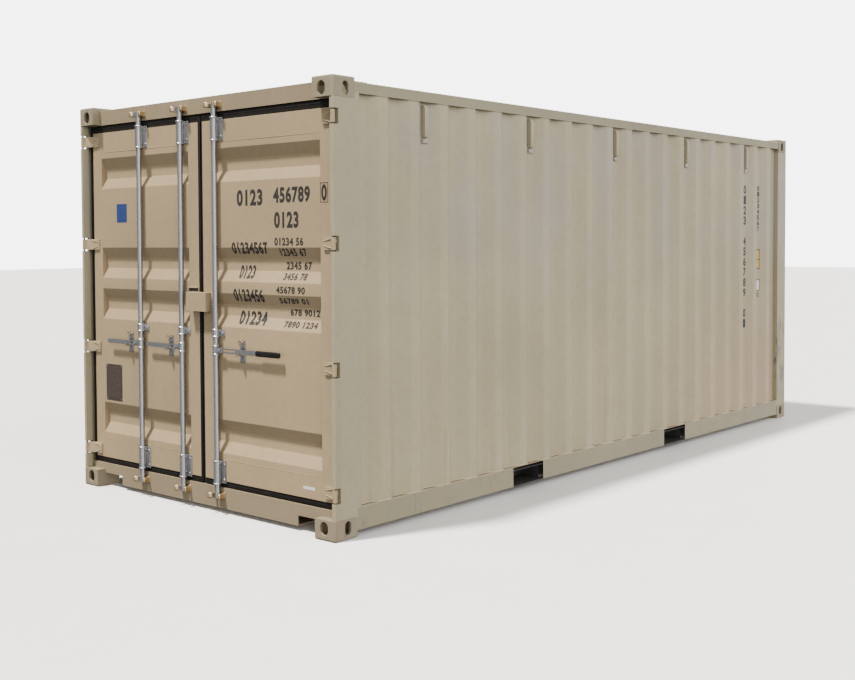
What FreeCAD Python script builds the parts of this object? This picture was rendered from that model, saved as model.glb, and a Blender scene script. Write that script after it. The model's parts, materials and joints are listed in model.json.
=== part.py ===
import FreeCAD, Part
import math
import os

# Twenty-foot general cargo container, dry freight type, 8 ft 6 in high.
# Frame: millimetres, origin on the ground under the middle of the container,
# X along the length with the doors at -X and the blind front end at +X,
# Y across with the left side at +Y when facing the front, Z up.
# Every piece of a pair is drawn on the +Y side and mirrored to -Y.

# ---------------------------------------------------------------- overall sizes
LENGTH = 6058.0
WIDTH = 2438.0
HEIGHT = 2591.0
SIDE_SETBACK = 3.0
END_SETBACK = 4.0
TOUCH_GAP = 5.0

# ---------------------------------------------------------------- corner castings
CASTING_LENGTH = 178.0
CASTING_WIDTH = 162.0
CASTING_HEIGHT = 118.0
CASTING_WALL = 16.0
CASTING_INNER_WALL = 12.0
CASTING_PLATE = 28.5
SLOT_LENGTH = 124.0
SLOT_WIDTH = 63.5
SLOT_FROM_END = 102.5
SLOT_FROM_SIDE = 89.5
HOLE_HEIGHT = 79.5
SIDE_HOLE_WIDTH = 51.0
END_HOLE_WIDTH = 63.5
CASTING_EDGE_RADIUS = 20.0
CASTING_RIM_RADIUS = 12.0

# ---------------------------------------------------------------- side frame
PLATE = 6.0
BOTTOM_RAIL_BASE = 40.0
BOTTOM_RAIL_HEIGHT = 132.0
BOTTOM_RAIL_FLANGE = 48.0
BOTTOM_RAIL_THICKNESS = 4.5
TOP_RAIL_SIZE = 60.0
TOP_RAIL_WALL = 3.0
TOP_RAIL_DROP = 28.0

# ---------------------------------------------------------------- corner posts
REAR_POST_DEPTH = 212.0
NOSE_THICKNESS = 26.0
NOSE_DEPTH = 50.0
NOSE_RADIUS = 8.0
CHANNEL_DEPTH = 113.0
CHANNEL_THICKNESS = 12.0
FRONT_POST_RETURN = 50.0

# ---------------------------------------------------------------- side and front walls
WALL_SHEET = 2.0
WALL_SETBACK = 7.0
FLUTE_PITCH = 275.4
FLUTE_CREST = 72.0
FLUTE_SLOPE = 68.0
FLUTE_DEPTH = 36.0
FRONT_PITCH = 250.0
FRONT_CREST = 110.0
FRONT_SLOPE = 18.0
FRONT_DEPTH = 45.6
FRONT_WALL_SETBACK = 2.0
FRONT_RAIL_DEPTH = 60.0
FRONT_SILL_HEIGHT = 120.0
FRONT_SILL_WALL = 4.0

# ---------------------------------------------------------------- roof
ROOF_SHEET = 2.0
ROOF_MARGIN_SIDE = 66.0
ROOF_MARGIN_END = 290.0
RIDGE_PITCH = 209.0
RIDGE_CREST = 91.0
RIDGE_SLOPE = 14.0
RIDGE_HEIGHT = 20.0
CORNER_PLATE_LENGTH = 105.0
CORNER_PLATE_THICKNESS = 4.0
HEADER_PLATE_THICKNESS = 4.0

# ---------------------------------------------------------------- floor and base
FLOOR_THICKNESS = 28.0
FLOOR_LIP = 4.0
FLOOR_EDGE_GAP = 3.0
MEMBER_HEIGHT = 100.0
MEMBER_FLANGE = 45.0
MEMBER_THICKNESS = 4.0
MEMBER_PITCH = 290.0
POCKET_WIDTH = 352.0
POCKET_SPACING = 2044.0
POCKET_OFFSET = -142.0
POCKET_PLATE = 4.0
STRAP_WIDTH = 200.0
STRAP_THICKNESS = 6.0

# ---------------------------------------------------------------- vents
VENT_WIDTH = 52.0
VENT_HEIGHT = 190.0
VENT_DEPTH = 24.0
VENT_DROP = 18.0
VENT_FOOT_WIDTH = 62.0
VENT_FOOT_HEIGHT = 34.0
VENT_FOOT_DEPTH = 30.0
VENT_EVERY = 4

# ---------------------------------------------------------------- door opening
OPENING_HALF_WIDTH = 1170.0
HEADER_SETBACK = 61.0
HEADER_HEIGHT = 100.0
HEADER_DROP = 21.0
SEAL_LAND = 22.0
SILL_BASE = 30.0
SILL_HEIGHT = 130.0
SILL_NOTCH_WIDTH = 200.0
SILL_NOTCH_HEIGHT = 62.0
SILL_INNER_DEPTH = 106.0

# ---------------------------------------------------------------- door leaves
LEAF_SETBACK = 64.0
LEAF_DEPTH = 50.0
LEAF_WALL = 3.2
LEAF_EDGE_SIDE = 40.0
LEAF_EDGE_TOP = 50.0
LEAF_EDGE_BOTTOM = 41.0
LEAF_CENTRE_GAP = 22.0
STILE_WIDTH = 95.0
DOOR_RAIL_HEIGHT = 135.0
DOOR_FLUTE_DEPTH = 36.0
DOOR_FLUTE_FLAT = 70.0
DOOR_FLUTE_SLOPE = 68.0
DOOR_FLUTE_PAIR_GAP = 72.0
DOOR_FLUTE_OUTER = 143.0
DOOR_PAIR_SHIFT = 87.0
GASKET_THICKNESS = 29.0
GASKET_INSET = 5.0
GASKET_CENTRE_GAP = 5.0

# ---------------------------------------------------------------- hinges
HINGES = 4
HINGE_INSET = 57.0
HINGE_HEIGHT = 70.0
NOTCH_HEIGHT = 88.0
NOTCH_DEPTH = 45.0
PIN_RADIUS = 7.0
PIN_FIT = 0.1
PIN_OVERRUN = 14.0
PIN_FROM_FACE = 13.0
KNUCKLE_RADIUS = 12.5
BLADE_THICKNESS = 10.0
BLADE_LENGTH = 66.0

# ---------------------------------------------------------------- locking bars
BAR_RADIUS = 17.0
BAR_STANDOFF = 26.0
BAR_OUTER_Y = 596.0
BAR_INNER_Y = 166.0
CAM_FROM_SILL_TOP = 49.0
CAM_FROM_HEADER = 40.0
CAM_RADIUS = 37.5
CAM_HEIGHT = 30.0
CAM_FROM_ANGLE = 76.0
CAM_TO_ANGLE = 118.0
KEEPER_HEIGHT = 50.0
KEEPER_HALF_WIDTH = 60.0
KEEPER_INNER = 26.0
KEEPER_FRONT = 35.0
BRACKET_INSET = 56.0
BRACKET_HEIGHT = 139.0
BRACKET_HALF_WIDTH = 57.0
BRACKET_PLATE = 5.0
SLEEVE_RADIUS = 22.0
SLEEVE_FIT = 0.5
GUIDE_ABOVE_HANDLE = 104.0
GUIDE_HEIGHT = 42.0

# ---------------------------------------------------------------- handles
HANDLE_BELOW_FLUTE = 143.5
HANDLE_STANDOFF = 34.0
HANDLE_HEIGHT = 32.0
HANDLE_THICKNESS = 8.0
HANDLE_REACH = 360.0
GRIP_REACH = 580.0
GRIP_LENGTH = 203.0
GRIP_HEIGHT = 36.0
GRIP_THICKNESS = 20.0
GRIP_EDGE_RADIUS = 8.0
GRIP_END_WALL = 8.0
HUB_RADIUS = 21.0
HUB_HEIGHT = 74.0
EAR_THICKNESS = 5.0
EAR_GAP = 1.0
PIVOT_REACH = 46.0
PIVOT_RADIUS = 6.0
EAR_OVERRUN = 13.0
CATCH_REACH = 140.0
GRIP_CATCH_REACH = 222.0
CATCH_PLATE_HEIGHT = 134.0
CATCH_PLATE_WIDTH = 44.0
CATCH_LIP = 9.0
CATCH_SHELF = 7.0

# ---------------------------------------------------------------- lock box
LOCK_BOX_LEFT = 85.0
LOCK_BOX_RIGHT = 105.0
LOCK_BOX_BRACKET = 26.0
LOCK_BOX_BELOW_MIDDLE = 6.5
LOCK_BOX_HEIGHT = 118.0
LOCK_BOX_WALL = 4.0
LOCK_BOX_FRONT = 8.0
LUG_WIDTH = 8.0
LUG_HEIGHT = 60.0
LUG_REACH = 34.0
LUG_Y = 40.0
LUG_EYE_RADIUS = 8.0
LUG_EYE_REACH = 20.0

# ---------------------------------------------------------------- places worked out
HALF_LENGTH = LENGTH / 2
HALF_WIDTH = WIDTH / 2
SIDE_FACE = HALF_WIDTH - SIDE_SETBACK
REAR_FACE = -HALF_LENGTH + END_SETBACK
FRONT_FACE = HALF_LENGTH - END_SETBACK
CASTING_INNER_Y = HALF_WIDTH - CASTING_WIDTH
CASTING_INNER_X = HALF_LENGTH - CASTING_LENGTH
TOP_CASTING_BASE = HEIGHT - CASTING_HEIGHT
WALL_OUTER = HALF_WIDTH - WALL_SETBACK
RAIL_TOP = BOTTOM_RAIL_BASE + BOTTOM_RAIL_HEIGHT
TOP_RAIL_TOP = HEIGHT - TOP_RAIL_DROP
TOP_RAIL_BASE = TOP_RAIL_TOP - TOP_RAIL_SIZE
REAR_POST_END = -HALF_LENGTH + END_SETBACK + REAR_POST_DEPTH
FLOOR_TOP = RAIL_TOP + FLOOR_LIP
FLOOR_BASE = FLOOR_TOP - FLOOR_THICKNESS
MEMBER_BASE = FLOOR_BASE - MEMBER_HEIGHT
HEADER_FACE = -HALF_LENGTH + HEADER_SETBACK
HEADER_TOP = HEIGHT - HEADER_DROP
HEADER_BASE = HEADER_TOP - HEADER_HEIGHT
SEAL_TOP = HEADER_BASE - SEAL_LAND
SILL_TOP = SILL_BASE + SILL_HEIGHT
LEAF_FACE = -HALF_LENGTH + LEAF_SETBACK
LEAF_BACK = LEAF_FACE + LEAF_DEPTH
NOSE_INNER_Y = SIDE_FACE - NOSE_THICKNESS
LEAF_OUTER_Y = NOSE_INNER_Y - LEAF_EDGE_SIDE
LEAF_BASE = SILL_TOP + LEAF_EDGE_BOTTOM
LEAF_TOP = HEADER_BASE - LEAF_EDGE_TOP
GASKET_FACE = LEAF_FACE + GASKET_INSET
GASKET_BACK = GASKET_FACE + GASKET_THICKNESS
SEAL_FACE = GASKET_BACK + TOUCH_GAP
CHANNEL_BACK = SEAL_FACE + CHANNEL_DEPTH
PIN_X = REAR_FACE + PIN_FROM_FACE
PIN_Y = SIDE_FACE - PIN_FROM_FACE
BAR_X = LEAF_FACE - BAR_STANDOFF
BAR_CAM_Z = SILL_TOP - CAM_FROM_SILL_TOP
BAR_TOP_Z = HEADER_BASE + CAM_FROM_HEADER
HANDLE_X = LEAF_FACE - HANDLE_STANDOFF
PANEL_BASE = LEAF_BASE + DOOR_RAIL_HEIGHT
PANEL_TOP = LEAF_TOP - DOOR_RAIL_HEIGHT
PANEL_MIDDLE = (PANEL_BASE + PANEL_TOP) / 2
DOOR_FLUTE_SPAN = DOOR_FLUTE_FLAT + 2 * DOOR_FLUTE_SLOPE
FLUTE_PAIR_LEVEL = PANEL_MIDDLE + DOOR_PAIR_SHIFT
FLUTE_PAIR_REACH = (DOOR_FLUTE_PAIR_GAP + DOOR_FLUTE_SPAN) / 2
DOOR_FLUTE_LEVELS = [PANEL_BASE + DOOR_FLUTE_OUTER, FLUTE_PAIR_LEVEL - FLUTE_PAIR_REACH,
                     FLUTE_PAIR_LEVEL + FLUTE_PAIR_REACH, PANEL_TOP - DOOR_FLUTE_OUTER]
HANDLE_Z = DOOR_FLUTE_LEVELS[1] - DOOR_FLUTE_SPAN / 2 - HANDLE_BELOW_FLUTE
GUIDE_Z = HANDLE_Z + GUIDE_ABOVE_HANDLE
LOCK_BOX_Z = PANEL_MIDDLE - LOCK_BOX_BELOW_MIDDLE
ROOF_BASE = TOP_RAIL_TOP
POCKET_CENTRES = [POCKET_OFFSET + sign * POCKET_SPACING / 2 for sign in (-1, 1)]
HINGE_STEP = (LEAF_TOP - LEAF_BASE - 2 * HINGE_INSET) / (HINGES - 1)
HINGE_LEVELS = [LEAF_BASE + HINGE_INSET + step * HINGE_STEP for step in range(HINGES)]

UP = FreeCAD.Vector(0, 0, 1)
ORIGIN = FreeCAD.Vector(0, 0, 0)
ACROSS = FreeCAD.Vector(0, 1, 0)
ALONG = FreeCAD.Vector(1, 0, 0)


# ---------------------------------------------------------------- shape helpers
def box(x_range, y_range, z_range):
    """A block between two values on each axis, given in either order."""
    lows = [min(pair) for pair in (x_range, y_range, z_range)]
    spans = [abs(pair[1] - pair[0]) for pair in (x_range, y_range, z_range)]
    return Part.makeBox(*spans, FreeCAD.Vector(*lows))


def prism(points, start, travel):
    """A straight prism: 2-D points placed by `start`, pushed along `travel`."""
    corners = [start(*point) for point in points]
    corners.append(corners[0])
    return Part.Face(Part.makePolygon(corners)).extrude(travel)


def upright(points, low, high):
    """A prism of (x, y) points between two heights."""
    return prism(points, lambda x, y: FreeCAD.Vector(x, y, low), UP * (high - low))


def fused(shapes):
    """All the shapes as one solid, with the seams between them removed."""
    first, rest = shapes[0], shapes[1:]
    return first.fuse(rest).removeSplitter() if rest else first


def mirrored(shape):
    """The same piece on the other side of the container."""
    return shape.mirror(ORIGIN, ACROSS)


def pair(shape):
    """A piece and its mirror image, as solids that do not touch."""
    return Part.makeCompound([shape, mirrored(shape)])


def cylinder(radius, centre, low, high):
    """An upright cylinder round (x, y)."""
    return Part.makeCylinder(radius, high - low, FreeCAD.Vector(centre[0], centre[1], low))


def oblong_cutter(width, length, depth, centre, across, along, inward):
    """A slot with round ends: `length` along one axis, `depth` on another."""
    straight = (length - width) / 2
    start = centre - across * (width / 2) - along * straight
    corners = [start, start + across * width, start + across * width + along * 2 * straight,
               start + along * 2 * straight]
    low_crown = centre - along * (straight + width / 2)
    high_crown = centre + along * (straight + width / 2)
    edges = [Part.Arc(corners[0], low_crown, corners[1]).toShape(),
             Part.makeLine(corners[1], corners[2]),
             Part.Arc(corners[2], high_crown, corners[3]).toShape(),
             Part.makeLine(corners[3], corners[0])]
    return Part.Face(Part.Wire(edges)).extrude(inward * depth)


def sheet_profile(line, thickness):
    """A closed outline from a line of (run, level) points, thick towards +level."""
    return line + [(run, level + thickness) for run, level in reversed(line)]


def flute_line(start, end, centres, crest, slope, outer, inner):
    """Points of a fluted sheet that lies at `inner`, and at `outer` on the crests."""
    line = [(start, inner)]
    for centre in centres:
        line += [(centre - crest / 2 - slope, inner), (centre - crest / 2, outer),
                 (centre + crest / 2, outer), (centre + crest / 2 + slope, inner)]
    return line + [(end, inner)]


def spread(centre_low, centre_high, pitch):
    """Evenly spaced places over a length, as near the pitch as a whole count allows."""
    span = centre_high - centre_low
    count = max(2, round(span / pitch))
    step = span / count
    return [centre_low + (index + 0.5) * step for index in range(count)]


# ---------------------------------------------------------------- corner castings
def bottom_casting(x_sign):
    """One hollow casting on the ground, at +Y, with a slot and two face holes."""
    end, side = x_sign * HALF_LENGTH, HALF_WIDTH
    block = box((end, end - x_sign * CASTING_LENGTH), (side, CASTING_INNER_Y), (0, CASTING_HEIGHT))
    block = rounded_casting(block, end, side)
    cavity = box((end - x_sign * CASTING_WALL, end - x_sign * (CASTING_LENGTH - CASTING_INNER_WALL)),
                 (side - CASTING_WALL, CASTING_INNER_Y + CASTING_INNER_WALL),
                 (CASTING_PLATE, CASTING_PLATE + HOLE_HEIGHT))
    middle = CASTING_PLATE + HOLE_HEIGHT / 2
    slot_x, slot_y = end - x_sign * SLOT_FROM_END, side - SLOT_FROM_SIDE
    slot = oblong_cutter(SLOT_WIDTH, SLOT_LENGTH, CASTING_PLATE + 2,
                         FreeCAD.Vector(slot_x, slot_y, -1), ACROSS, ALONG, UP)
    side_hole = oblong_cutter(SIDE_HOLE_WIDTH, HOLE_HEIGHT, CASTING_WALL + 2,
                              FreeCAD.Vector(slot_x, side + 1, middle), ALONG, UP, ACROSS * -1)
    end_hole = oblong_cutter(END_HOLE_WIDTH, HOLE_HEIGHT, CASTING_WALL + 2,
                             FreeCAD.Vector(end + x_sign, slot_y, middle), ACROSS, UP, ALONG * -x_sign)
    return block.cut([cavity, slot, side_hole, end_hole])


def rounded_casting(block, end, side):
    """The casting block with its outer upright edge and lower rim rounded."""
    def at(vertex, x=None, y=None, z=None):
        wanted = ((vertex.X, x), (vertex.Y, y), (vertex.Z, z))
        return all(value is None or abs(found - value) < 0.01 for found, value in wanted)

    def edges_at(shape, **where):
        return [edge for edge in shape.Edges if all(at(vertex, **where) for vertex in edge.Vertexes)]

    block = block.makeFillet(CASTING_EDGE_RADIUS, edges_at(block, x=end, y=side))
    rim = [edge for edge in block.Edges if all(abs(vertex.Z) < 0.01 for vertex in edge.Vertexes)]
    return block.makeFillet(CASTING_RIM_RADIUS, rim)


def corner_castings():
    """The four bottom and the four top castings."""
    bottom = [bottom_casting(sign) for sign in (-1, 1)]
    middle = FreeCAD.Vector(0, 0, HEIGHT / 2)
    top = [casting.mirror(middle, UP) for casting in bottom]
    return {"bottom_corner_castings": Part.makeCompound([pair(casting) for casting in bottom]),
            "top_corner_castings": Part.makeCompound([pair(casting) for casting in top])}


# ---------------------------------------------------------------- corner posts
def hinge_notch(level):
    """The cut in the post's nose that a hinge turns in."""
    return box((REAR_FACE - 1, REAR_FACE + NOTCH_DEPTH), (NOSE_INNER_Y - 1, SIDE_FACE + 1),
               (level - NOTCH_HEIGHT / 2, level + NOTCH_HEIGHT / 2))


def rear_post():
    """The left door post: outer plate with a thick nose, and the inner channel."""
    plate = box((REAR_FACE, REAR_POST_END), (SIDE_FACE - PLATE, SIDE_FACE),
                (CASTING_HEIGHT, TOP_CASTING_BASE))
    beside_castings = box((-CASTING_INNER_X, REAR_POST_END), (SIDE_FACE - PLATE, SIDE_FACE),
                          (RAIL_TOP, TOP_RAIL_BASE))
    plate = plate.cut(box((-CASTING_INNER_X, REAR_POST_END + 1), (SIDE_FACE - PLATE - 1, SIDE_FACE + 1),
                          (CASTING_HEIGHT - 1, RAIL_TOP)))
    nose = box((REAR_FACE, REAR_FACE + NOSE_DEPTH), (NOSE_INNER_Y, SIDE_FACE),
               (CASTING_HEIGHT, TOP_CASTING_BASE))
    channel = box((SEAL_FACE, CHANNEL_BACK), (OPENING_HALF_WIDTH, SIDE_FACE - PLATE), (FLOOR_TOP, SEAL_TOP))
    hollow = box((SEAL_FACE + CHANNEL_THICKNESS, CHANNEL_BACK - CHANNEL_THICKNESS),
                 (OPENING_HALF_WIDTH + CHANNEL_THICKNESS, SIDE_FACE - PLATE), (FLOOR_TOP, SEAL_TOP))
    post = fused([plate, beside_castings, nose, channel.cut(hollow)])
    front_edge = [edge for edge in post.Edges
                  if all(abs(v.X - REAR_FACE) < 0.01 and abs(v.Y - SIDE_FACE) < 0.01 for v in edge.Vertexes)]
    post = post.makeFillet(NOSE_RADIUS, front_edge)
    pin_bores = [cylinder(PIN_RADIUS, (PIN_X, PIN_Y), level - NOTCH_HEIGHT / 2 - PIN_OVERRUN,
                          level + NOTCH_HEIGHT / 2 + PIN_OVERRUN) for level in HINGE_LEVELS]
    return post.cut([hinge_notch(level) for level in HINGE_LEVELS] + pin_bores)


def hinge_pins():
    """The pins of one post, held in the nose above and below each notch."""
    return [cylinder(PIN_RADIUS, (PIN_X, PIN_Y), level - NOTCH_HEIGHT / 2 - PIN_OVERRUN,
                     level + NOTCH_HEIGHT / 2 + PIN_OVERRUN) for level in HINGE_LEVELS]


def front_post():
    """The left front post, a pressed section closed on its inner corner."""
    inner_end = FRONT_FACE - FRONT_POST_RETURN
    inner_side = OPENING_HALF_WIDTH
    edge = CASTING_INNER_Y
    outer = [(CASTING_INNER_X, SIDE_FACE), (FRONT_FACE, SIDE_FACE), (FRONT_FACE, edge),
             (inner_end, edge), (CASTING_INNER_X, inner_side)]
    wall = PLATE
    inner = [(CASTING_INNER_X + wall, SIDE_FACE - wall), (FRONT_FACE - wall, SIDE_FACE - wall),
             (FRONT_FACE - wall, edge + wall), (inner_end + wall / 2, edge + wall),
             (CASTING_INNER_X + wall, inner_side + wall * 1.4)]
    post = upright(outer, CASTING_HEIGHT, TOP_CASTING_BASE)
    return post.cut(upright(inner, CASTING_HEIGHT - 1, TOP_CASTING_BASE + 1))


# ---------------------------------------------------------------- rails
def bottom_side_rail():
    """The left channel rail, in three lengths that end at the fork pockets."""
    outer = box((-CASTING_INNER_X, CASTING_INNER_X), (SIDE_FACE - BOTTOM_RAIL_FLANGE, SIDE_FACE),
                (BOTTOM_RAIL_BASE, RAIL_TOP))
    hollow = box((-CASTING_INNER_X - 1, CASTING_INNER_X + 1),
                 (SIDE_FACE - BOTTOM_RAIL_FLANGE - 1, SIDE_FACE - BOTTOM_RAIL_THICKNESS),
                 (BOTTOM_RAIL_BASE + BOTTOM_RAIL_THICKNESS, RAIL_TOP - BOTTOM_RAIL_THICKNESS))
    pockets = [box((centre - POCKET_WIDTH / 2, centre + POCKET_WIDTH / 2), (0, SIDE_FACE + 1),
                   (BOTTOM_RAIL_BASE - 1, RAIL_TOP + 1)) for centre in POCKET_CENTRES]
    return Part.makeCompound(outer.cut([hollow] + pockets).Solids)


def rail_bridges():
    """Flat plates that carry the rails' top flanges over the fork pockets."""
    return Part.makeCompound([
        box((centre - POCKET_WIDTH / 2, centre + POCKET_WIDTH / 2),
            (side * (SIDE_FACE - BOTTOM_RAIL_FLANGE), side * SIDE_FACE),
            (RAIL_TOP - BOTTOM_RAIL_THICKNESS, RAIL_TOP))
        for centre in POCKET_CENTRES for side in (-1, 1)])


def square_tube(x_range, y_range, z_range, wall, axis):
    """An open-ended box section whose length lies along one axis."""
    outer = box(x_range, y_range, z_range)
    inset = {"x": (-1, wall, wall), "y": (wall, -1, wall)}[axis]
    ranges = [(min(span) + cut, max(span) - cut)
              for span, cut in zip((x_range, y_range, z_range), inset)]
    return outer.cut(box(*ranges))


def top_side_rail():
    """The left square rail that joins the top castings."""
    return square_tube((-CASTING_INNER_X, CASTING_INNER_X), (SIDE_FACE - TOP_RAIL_SIZE, SIDE_FACE),
                       (TOP_RAIL_BASE, TOP_RAIL_TOP), TOP_RAIL_WALL, "x")


def front_top_rail():
    """The square rail across the top of the front end."""
    return square_tube((FRONT_FACE - FRONT_RAIL_DEPTH, FRONT_FACE), (-CASTING_INNER_Y, CASTING_INNER_Y),
                       (TOP_RAIL_BASE, TOP_RAIL_TOP), TOP_RAIL_WALL, "y")


def front_bottom_rail():
    """The deeper box rail across the foot of the front end."""
    return square_tube((FRONT_FACE - FRONT_RAIL_DEPTH, FRONT_FACE), (-CASTING_INNER_Y, CASTING_INNER_Y),
                       (RAIL_TOP - FRONT_SILL_HEIGHT, RAIL_TOP), FRONT_SILL_WALL, "y")


# ---------------------------------------------------------------- door header and sill
def door_header():
    """The beam over the doors: front face, and a land behind the seal."""
    front = box((HEADER_FACE, SEAL_FACE), (-CASTING_INNER_Y, CASTING_INNER_Y), (HEADER_BASE, HEADER_TOP))
    land = box((SEAL_FACE, -CASTING_INNER_X), (-CASTING_INNER_Y, CASTING_INNER_Y),
               (SEAL_TOP, HEADER_TOP))
    ears = box((SEAL_FACE, -CASTING_INNER_X), (-(SIDE_FACE - PLATE), SIDE_FACE - PLATE),
               (SEAL_TOP, TOP_CASTING_BASE))
    lips = box((HEADER_FACE, SEAL_FACE), (-NOSE_INNER_Y, NOSE_INNER_Y), (HEADER_BASE, TOP_CASTING_BASE))
    room = box((HEADER_FACE + PLATE, -CASTING_INNER_X - PLATE),
               (-CASTING_INNER_Y - 1, CASTING_INNER_Y + 1), (HEADER_BASE + PLATE, HEADER_TOP - PLATE))
    return fused([front, land, ears, lips]).cut(room)


def door_sill():
    """The beam under the doors, notched beside the castings."""
    front = box((HEADER_FACE, SEAL_FACE), (-CASTING_INNER_Y, CASTING_INNER_Y), (SILL_BASE, SILL_TOP))
    land = box((SEAL_FACE, SEAL_FACE + SILL_INNER_DEPTH), (-CASTING_INNER_Y, CASTING_INNER_Y),
               (SILL_BASE, FLOOR_TOP))
    over_castings = box((HEADER_FACE, SEAL_FACE), (-NOSE_INNER_Y, NOSE_INNER_Y), (CASTING_HEIGHT, SILL_TOP))
    ears = box((SEAL_FACE, -CASTING_INNER_X), (-(SIDE_FACE - PLATE), SIDE_FACE - PLATE),
               (CASTING_HEIGHT, FLOOR_TOP))
    room = box((HEADER_FACE + PLATE, SEAL_FACE + SILL_INNER_DEPTH + 1),
               (-CASTING_INNER_Y - 1, CASTING_INNER_Y + 1), (SILL_BASE + PLATE, SILL_TOP - PLATE))
    notches = [box((HEADER_FACE - 1, SEAL_FACE + SILL_INNER_DEPTH + 1),
                   (side * CASTING_INNER_Y, side * (CASTING_INNER_Y - SILL_NOTCH_WIDTH)),
                   (SILL_BASE - 1, SILL_BASE + SILL_NOTCH_HEIGHT)) for side in (-1, 1)]
    return fused([front, land, over_castings, ears]).cut([room] + notches)


# ---------------------------------------------------------------- walls, roof, floor
def wall_crests():
    """Places of the side wall's outer crests along X."""
    end_recess = FLUTE_PITCH - FLUTE_CREST / 2
    return spread(REAR_POST_END + end_recess - FLUTE_PITCH / 2 - FLUTE_CREST / 2,
                  CASTING_INNER_X - end_recess + FLUTE_PITCH / 2 + FLUTE_CREST / 2, FLUTE_PITCH)


def side_wall():
    """The left fluted sheet between the posts and the rails."""
    line = flute_line(REAR_POST_END, CASTING_INNER_X, wall_crests(), FLUTE_CREST, FLUTE_SLOPE,
                      WALL_OUTER, WALL_OUTER - FLUTE_DEPTH)
    return upright(sheet_profile(line, -WALL_SHEET), RAIL_TOP, TOP_RAIL_BASE)


def front_wall():
    """The deep-fluted sheet of the blind end."""
    edge = CASTING_INNER_Y
    outer = FRONT_FACE - FRONT_WALL_SETBACK
    crests = spread(-edge, edge, FRONT_PITCH)
    line = flute_line(-edge, edge, crests, FRONT_CREST, FRONT_SLOPE, outer, outer - FRONT_DEPTH)
    outline = [(level, run) for run, level in sheet_profile(line, -WALL_SHEET)]
    return upright(outline, RAIL_TOP, TOP_RAIL_BASE)


def tapered_ridge(centre, half_length, half_crest, low, high, slope):
    """A solid ridge across the roof with sloping sides and ends."""
    def ring(grow, level):
        """The ridge's outline at one level, grown all round."""
        across, along = half_crest + grow, half_length + grow
        corners = [(-across, -along), (across, -along), (across, along), (-across, along)]
        points = [FreeCAD.Vector(centre + x, y, level) for x, y in corners]
        return Part.makePolygon(points + points[:1])

    return Part.makeLoft([ring(slope, low), ring(0, high)], True, True)


def roof():
    """The die-stamped roof sheet: flat margins and hollow ridges across it."""
    half_width = SIDE_FACE - TOP_RAIL_WALL
    sheet = box((-CASTING_INNER_X, CASTING_INNER_X), (-half_width, half_width),
                (ROOF_BASE, ROOF_BASE + ROOF_SHEET))
    centres = spread(-HALF_LENGTH + ROOF_MARGIN_END, HALF_LENGTH - ROOF_MARGIN_END, RIDGE_PITCH)
    half_length = SIDE_FACE - TOP_RAIL_SIZE - ROOF_MARGIN_SIDE
    low, high = ROOF_BASE + ROOF_SHEET, ROOF_BASE + ROOF_SHEET + RIDGE_HEIGHT
    crest = RIDGE_CREST / 2
    outer = [tapered_ridge(centre, half_length, crest, low, high, RIDGE_SLOPE) for centre in centres]
    inner = [tapered_ridge(centre, half_length, crest - ROOF_SHEET, ROOF_BASE, high - ROOF_SHEET, RIDGE_SLOPE)
             for centre in centres]
    return fused([sheet] + outer).cut(inner)


def front_header_plate():
    """The guard plate on the front top rail, between the top castings."""
    return box((CASTING_INNER_X, FRONT_FACE), (-CASTING_INNER_Y, CASTING_INNER_Y),
               (ROOF_BASE, ROOF_BASE + HEADER_PLATE_THICKNESS))


def roof_corner_plates():
    """Four thicker plates that guard the roof beside the top castings."""
    outer_y = SIDE_FACE - TOP_RAIL_WALL
    low = ROOF_BASE + ROOF_SHEET
    far = CASTING_INNER_X - TOUCH_GAP
    near = far - CORNER_PLATE_LENGTH
    plates = [box((sign * near, sign * far), (CASTING_INNER_Y - CORNER_PLATE_LENGTH, outer_y),
                  (low, low + CORNER_PLATE_THICKNESS)) for sign in (-1, 1)]
    return Part.makeCompound([pair(plate) for plate in plates])


def cargo_floor():
    """The plywood deck, laid in from the sill to the front rail."""
    half_width = SIDE_FACE - BOTTOM_RAIL_FLANGE - FLOOR_EDGE_GAP
    start = SEAL_FACE + SILL_INNER_DEPTH + FLOOR_EDGE_GAP
    end = FRONT_FACE - FRONT_RAIL_DEPTH - FLOOR_EDGE_GAP
    deck = box((start, end), (-half_width, half_width), (FLOOR_BASE, FLOOR_TOP))
    corner = box((CASTING_INNER_X - FLOOR_EDGE_GAP, end + 1),
                 (CASTING_INNER_Y - FLOOR_EDGE_GAP, half_width + 1), (FLOOR_BASE - 1, FLOOR_TOP + 1))
    return deck.cut([corner, mirrored(corner)])


def member_places():
    """Places of the cross members, left out where a fork pocket runs."""
    places = spread(-CASTING_INNER_X + MEMBER_FLANGE, CASTING_INNER_X - MEMBER_FLANGE, MEMBER_PITCH)
    clear = POCKET_WIDTH / 2 + POCKET_PLATE + MEMBER_FLANGE
    return [place for place in places if all(abs(place - centre) > clear for centre in POCKET_CENTRES)]


def cross_members():
    """Channel sections across the base, under the deck."""
    half_width = SIDE_FACE - BOTTOM_RAIL_THICKNESS
    members = []
    for place in member_places():
        outer = box((place - MEMBER_FLANGE / 2, place + MEMBER_FLANGE / 2), (-half_width, half_width),
                    (MEMBER_BASE, FLOOR_BASE))
        hollow = box((place - MEMBER_FLANGE / 2 + MEMBER_THICKNESS, place + MEMBER_FLANGE / 2 + 1),
                     (-half_width - 1, half_width + 1),
                     (MEMBER_BASE + MEMBER_THICKNESS, FLOOR_BASE - MEMBER_THICKNESS))
        members.append(outer.cut(hollow))
    return Part.makeCompound(members)


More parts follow.
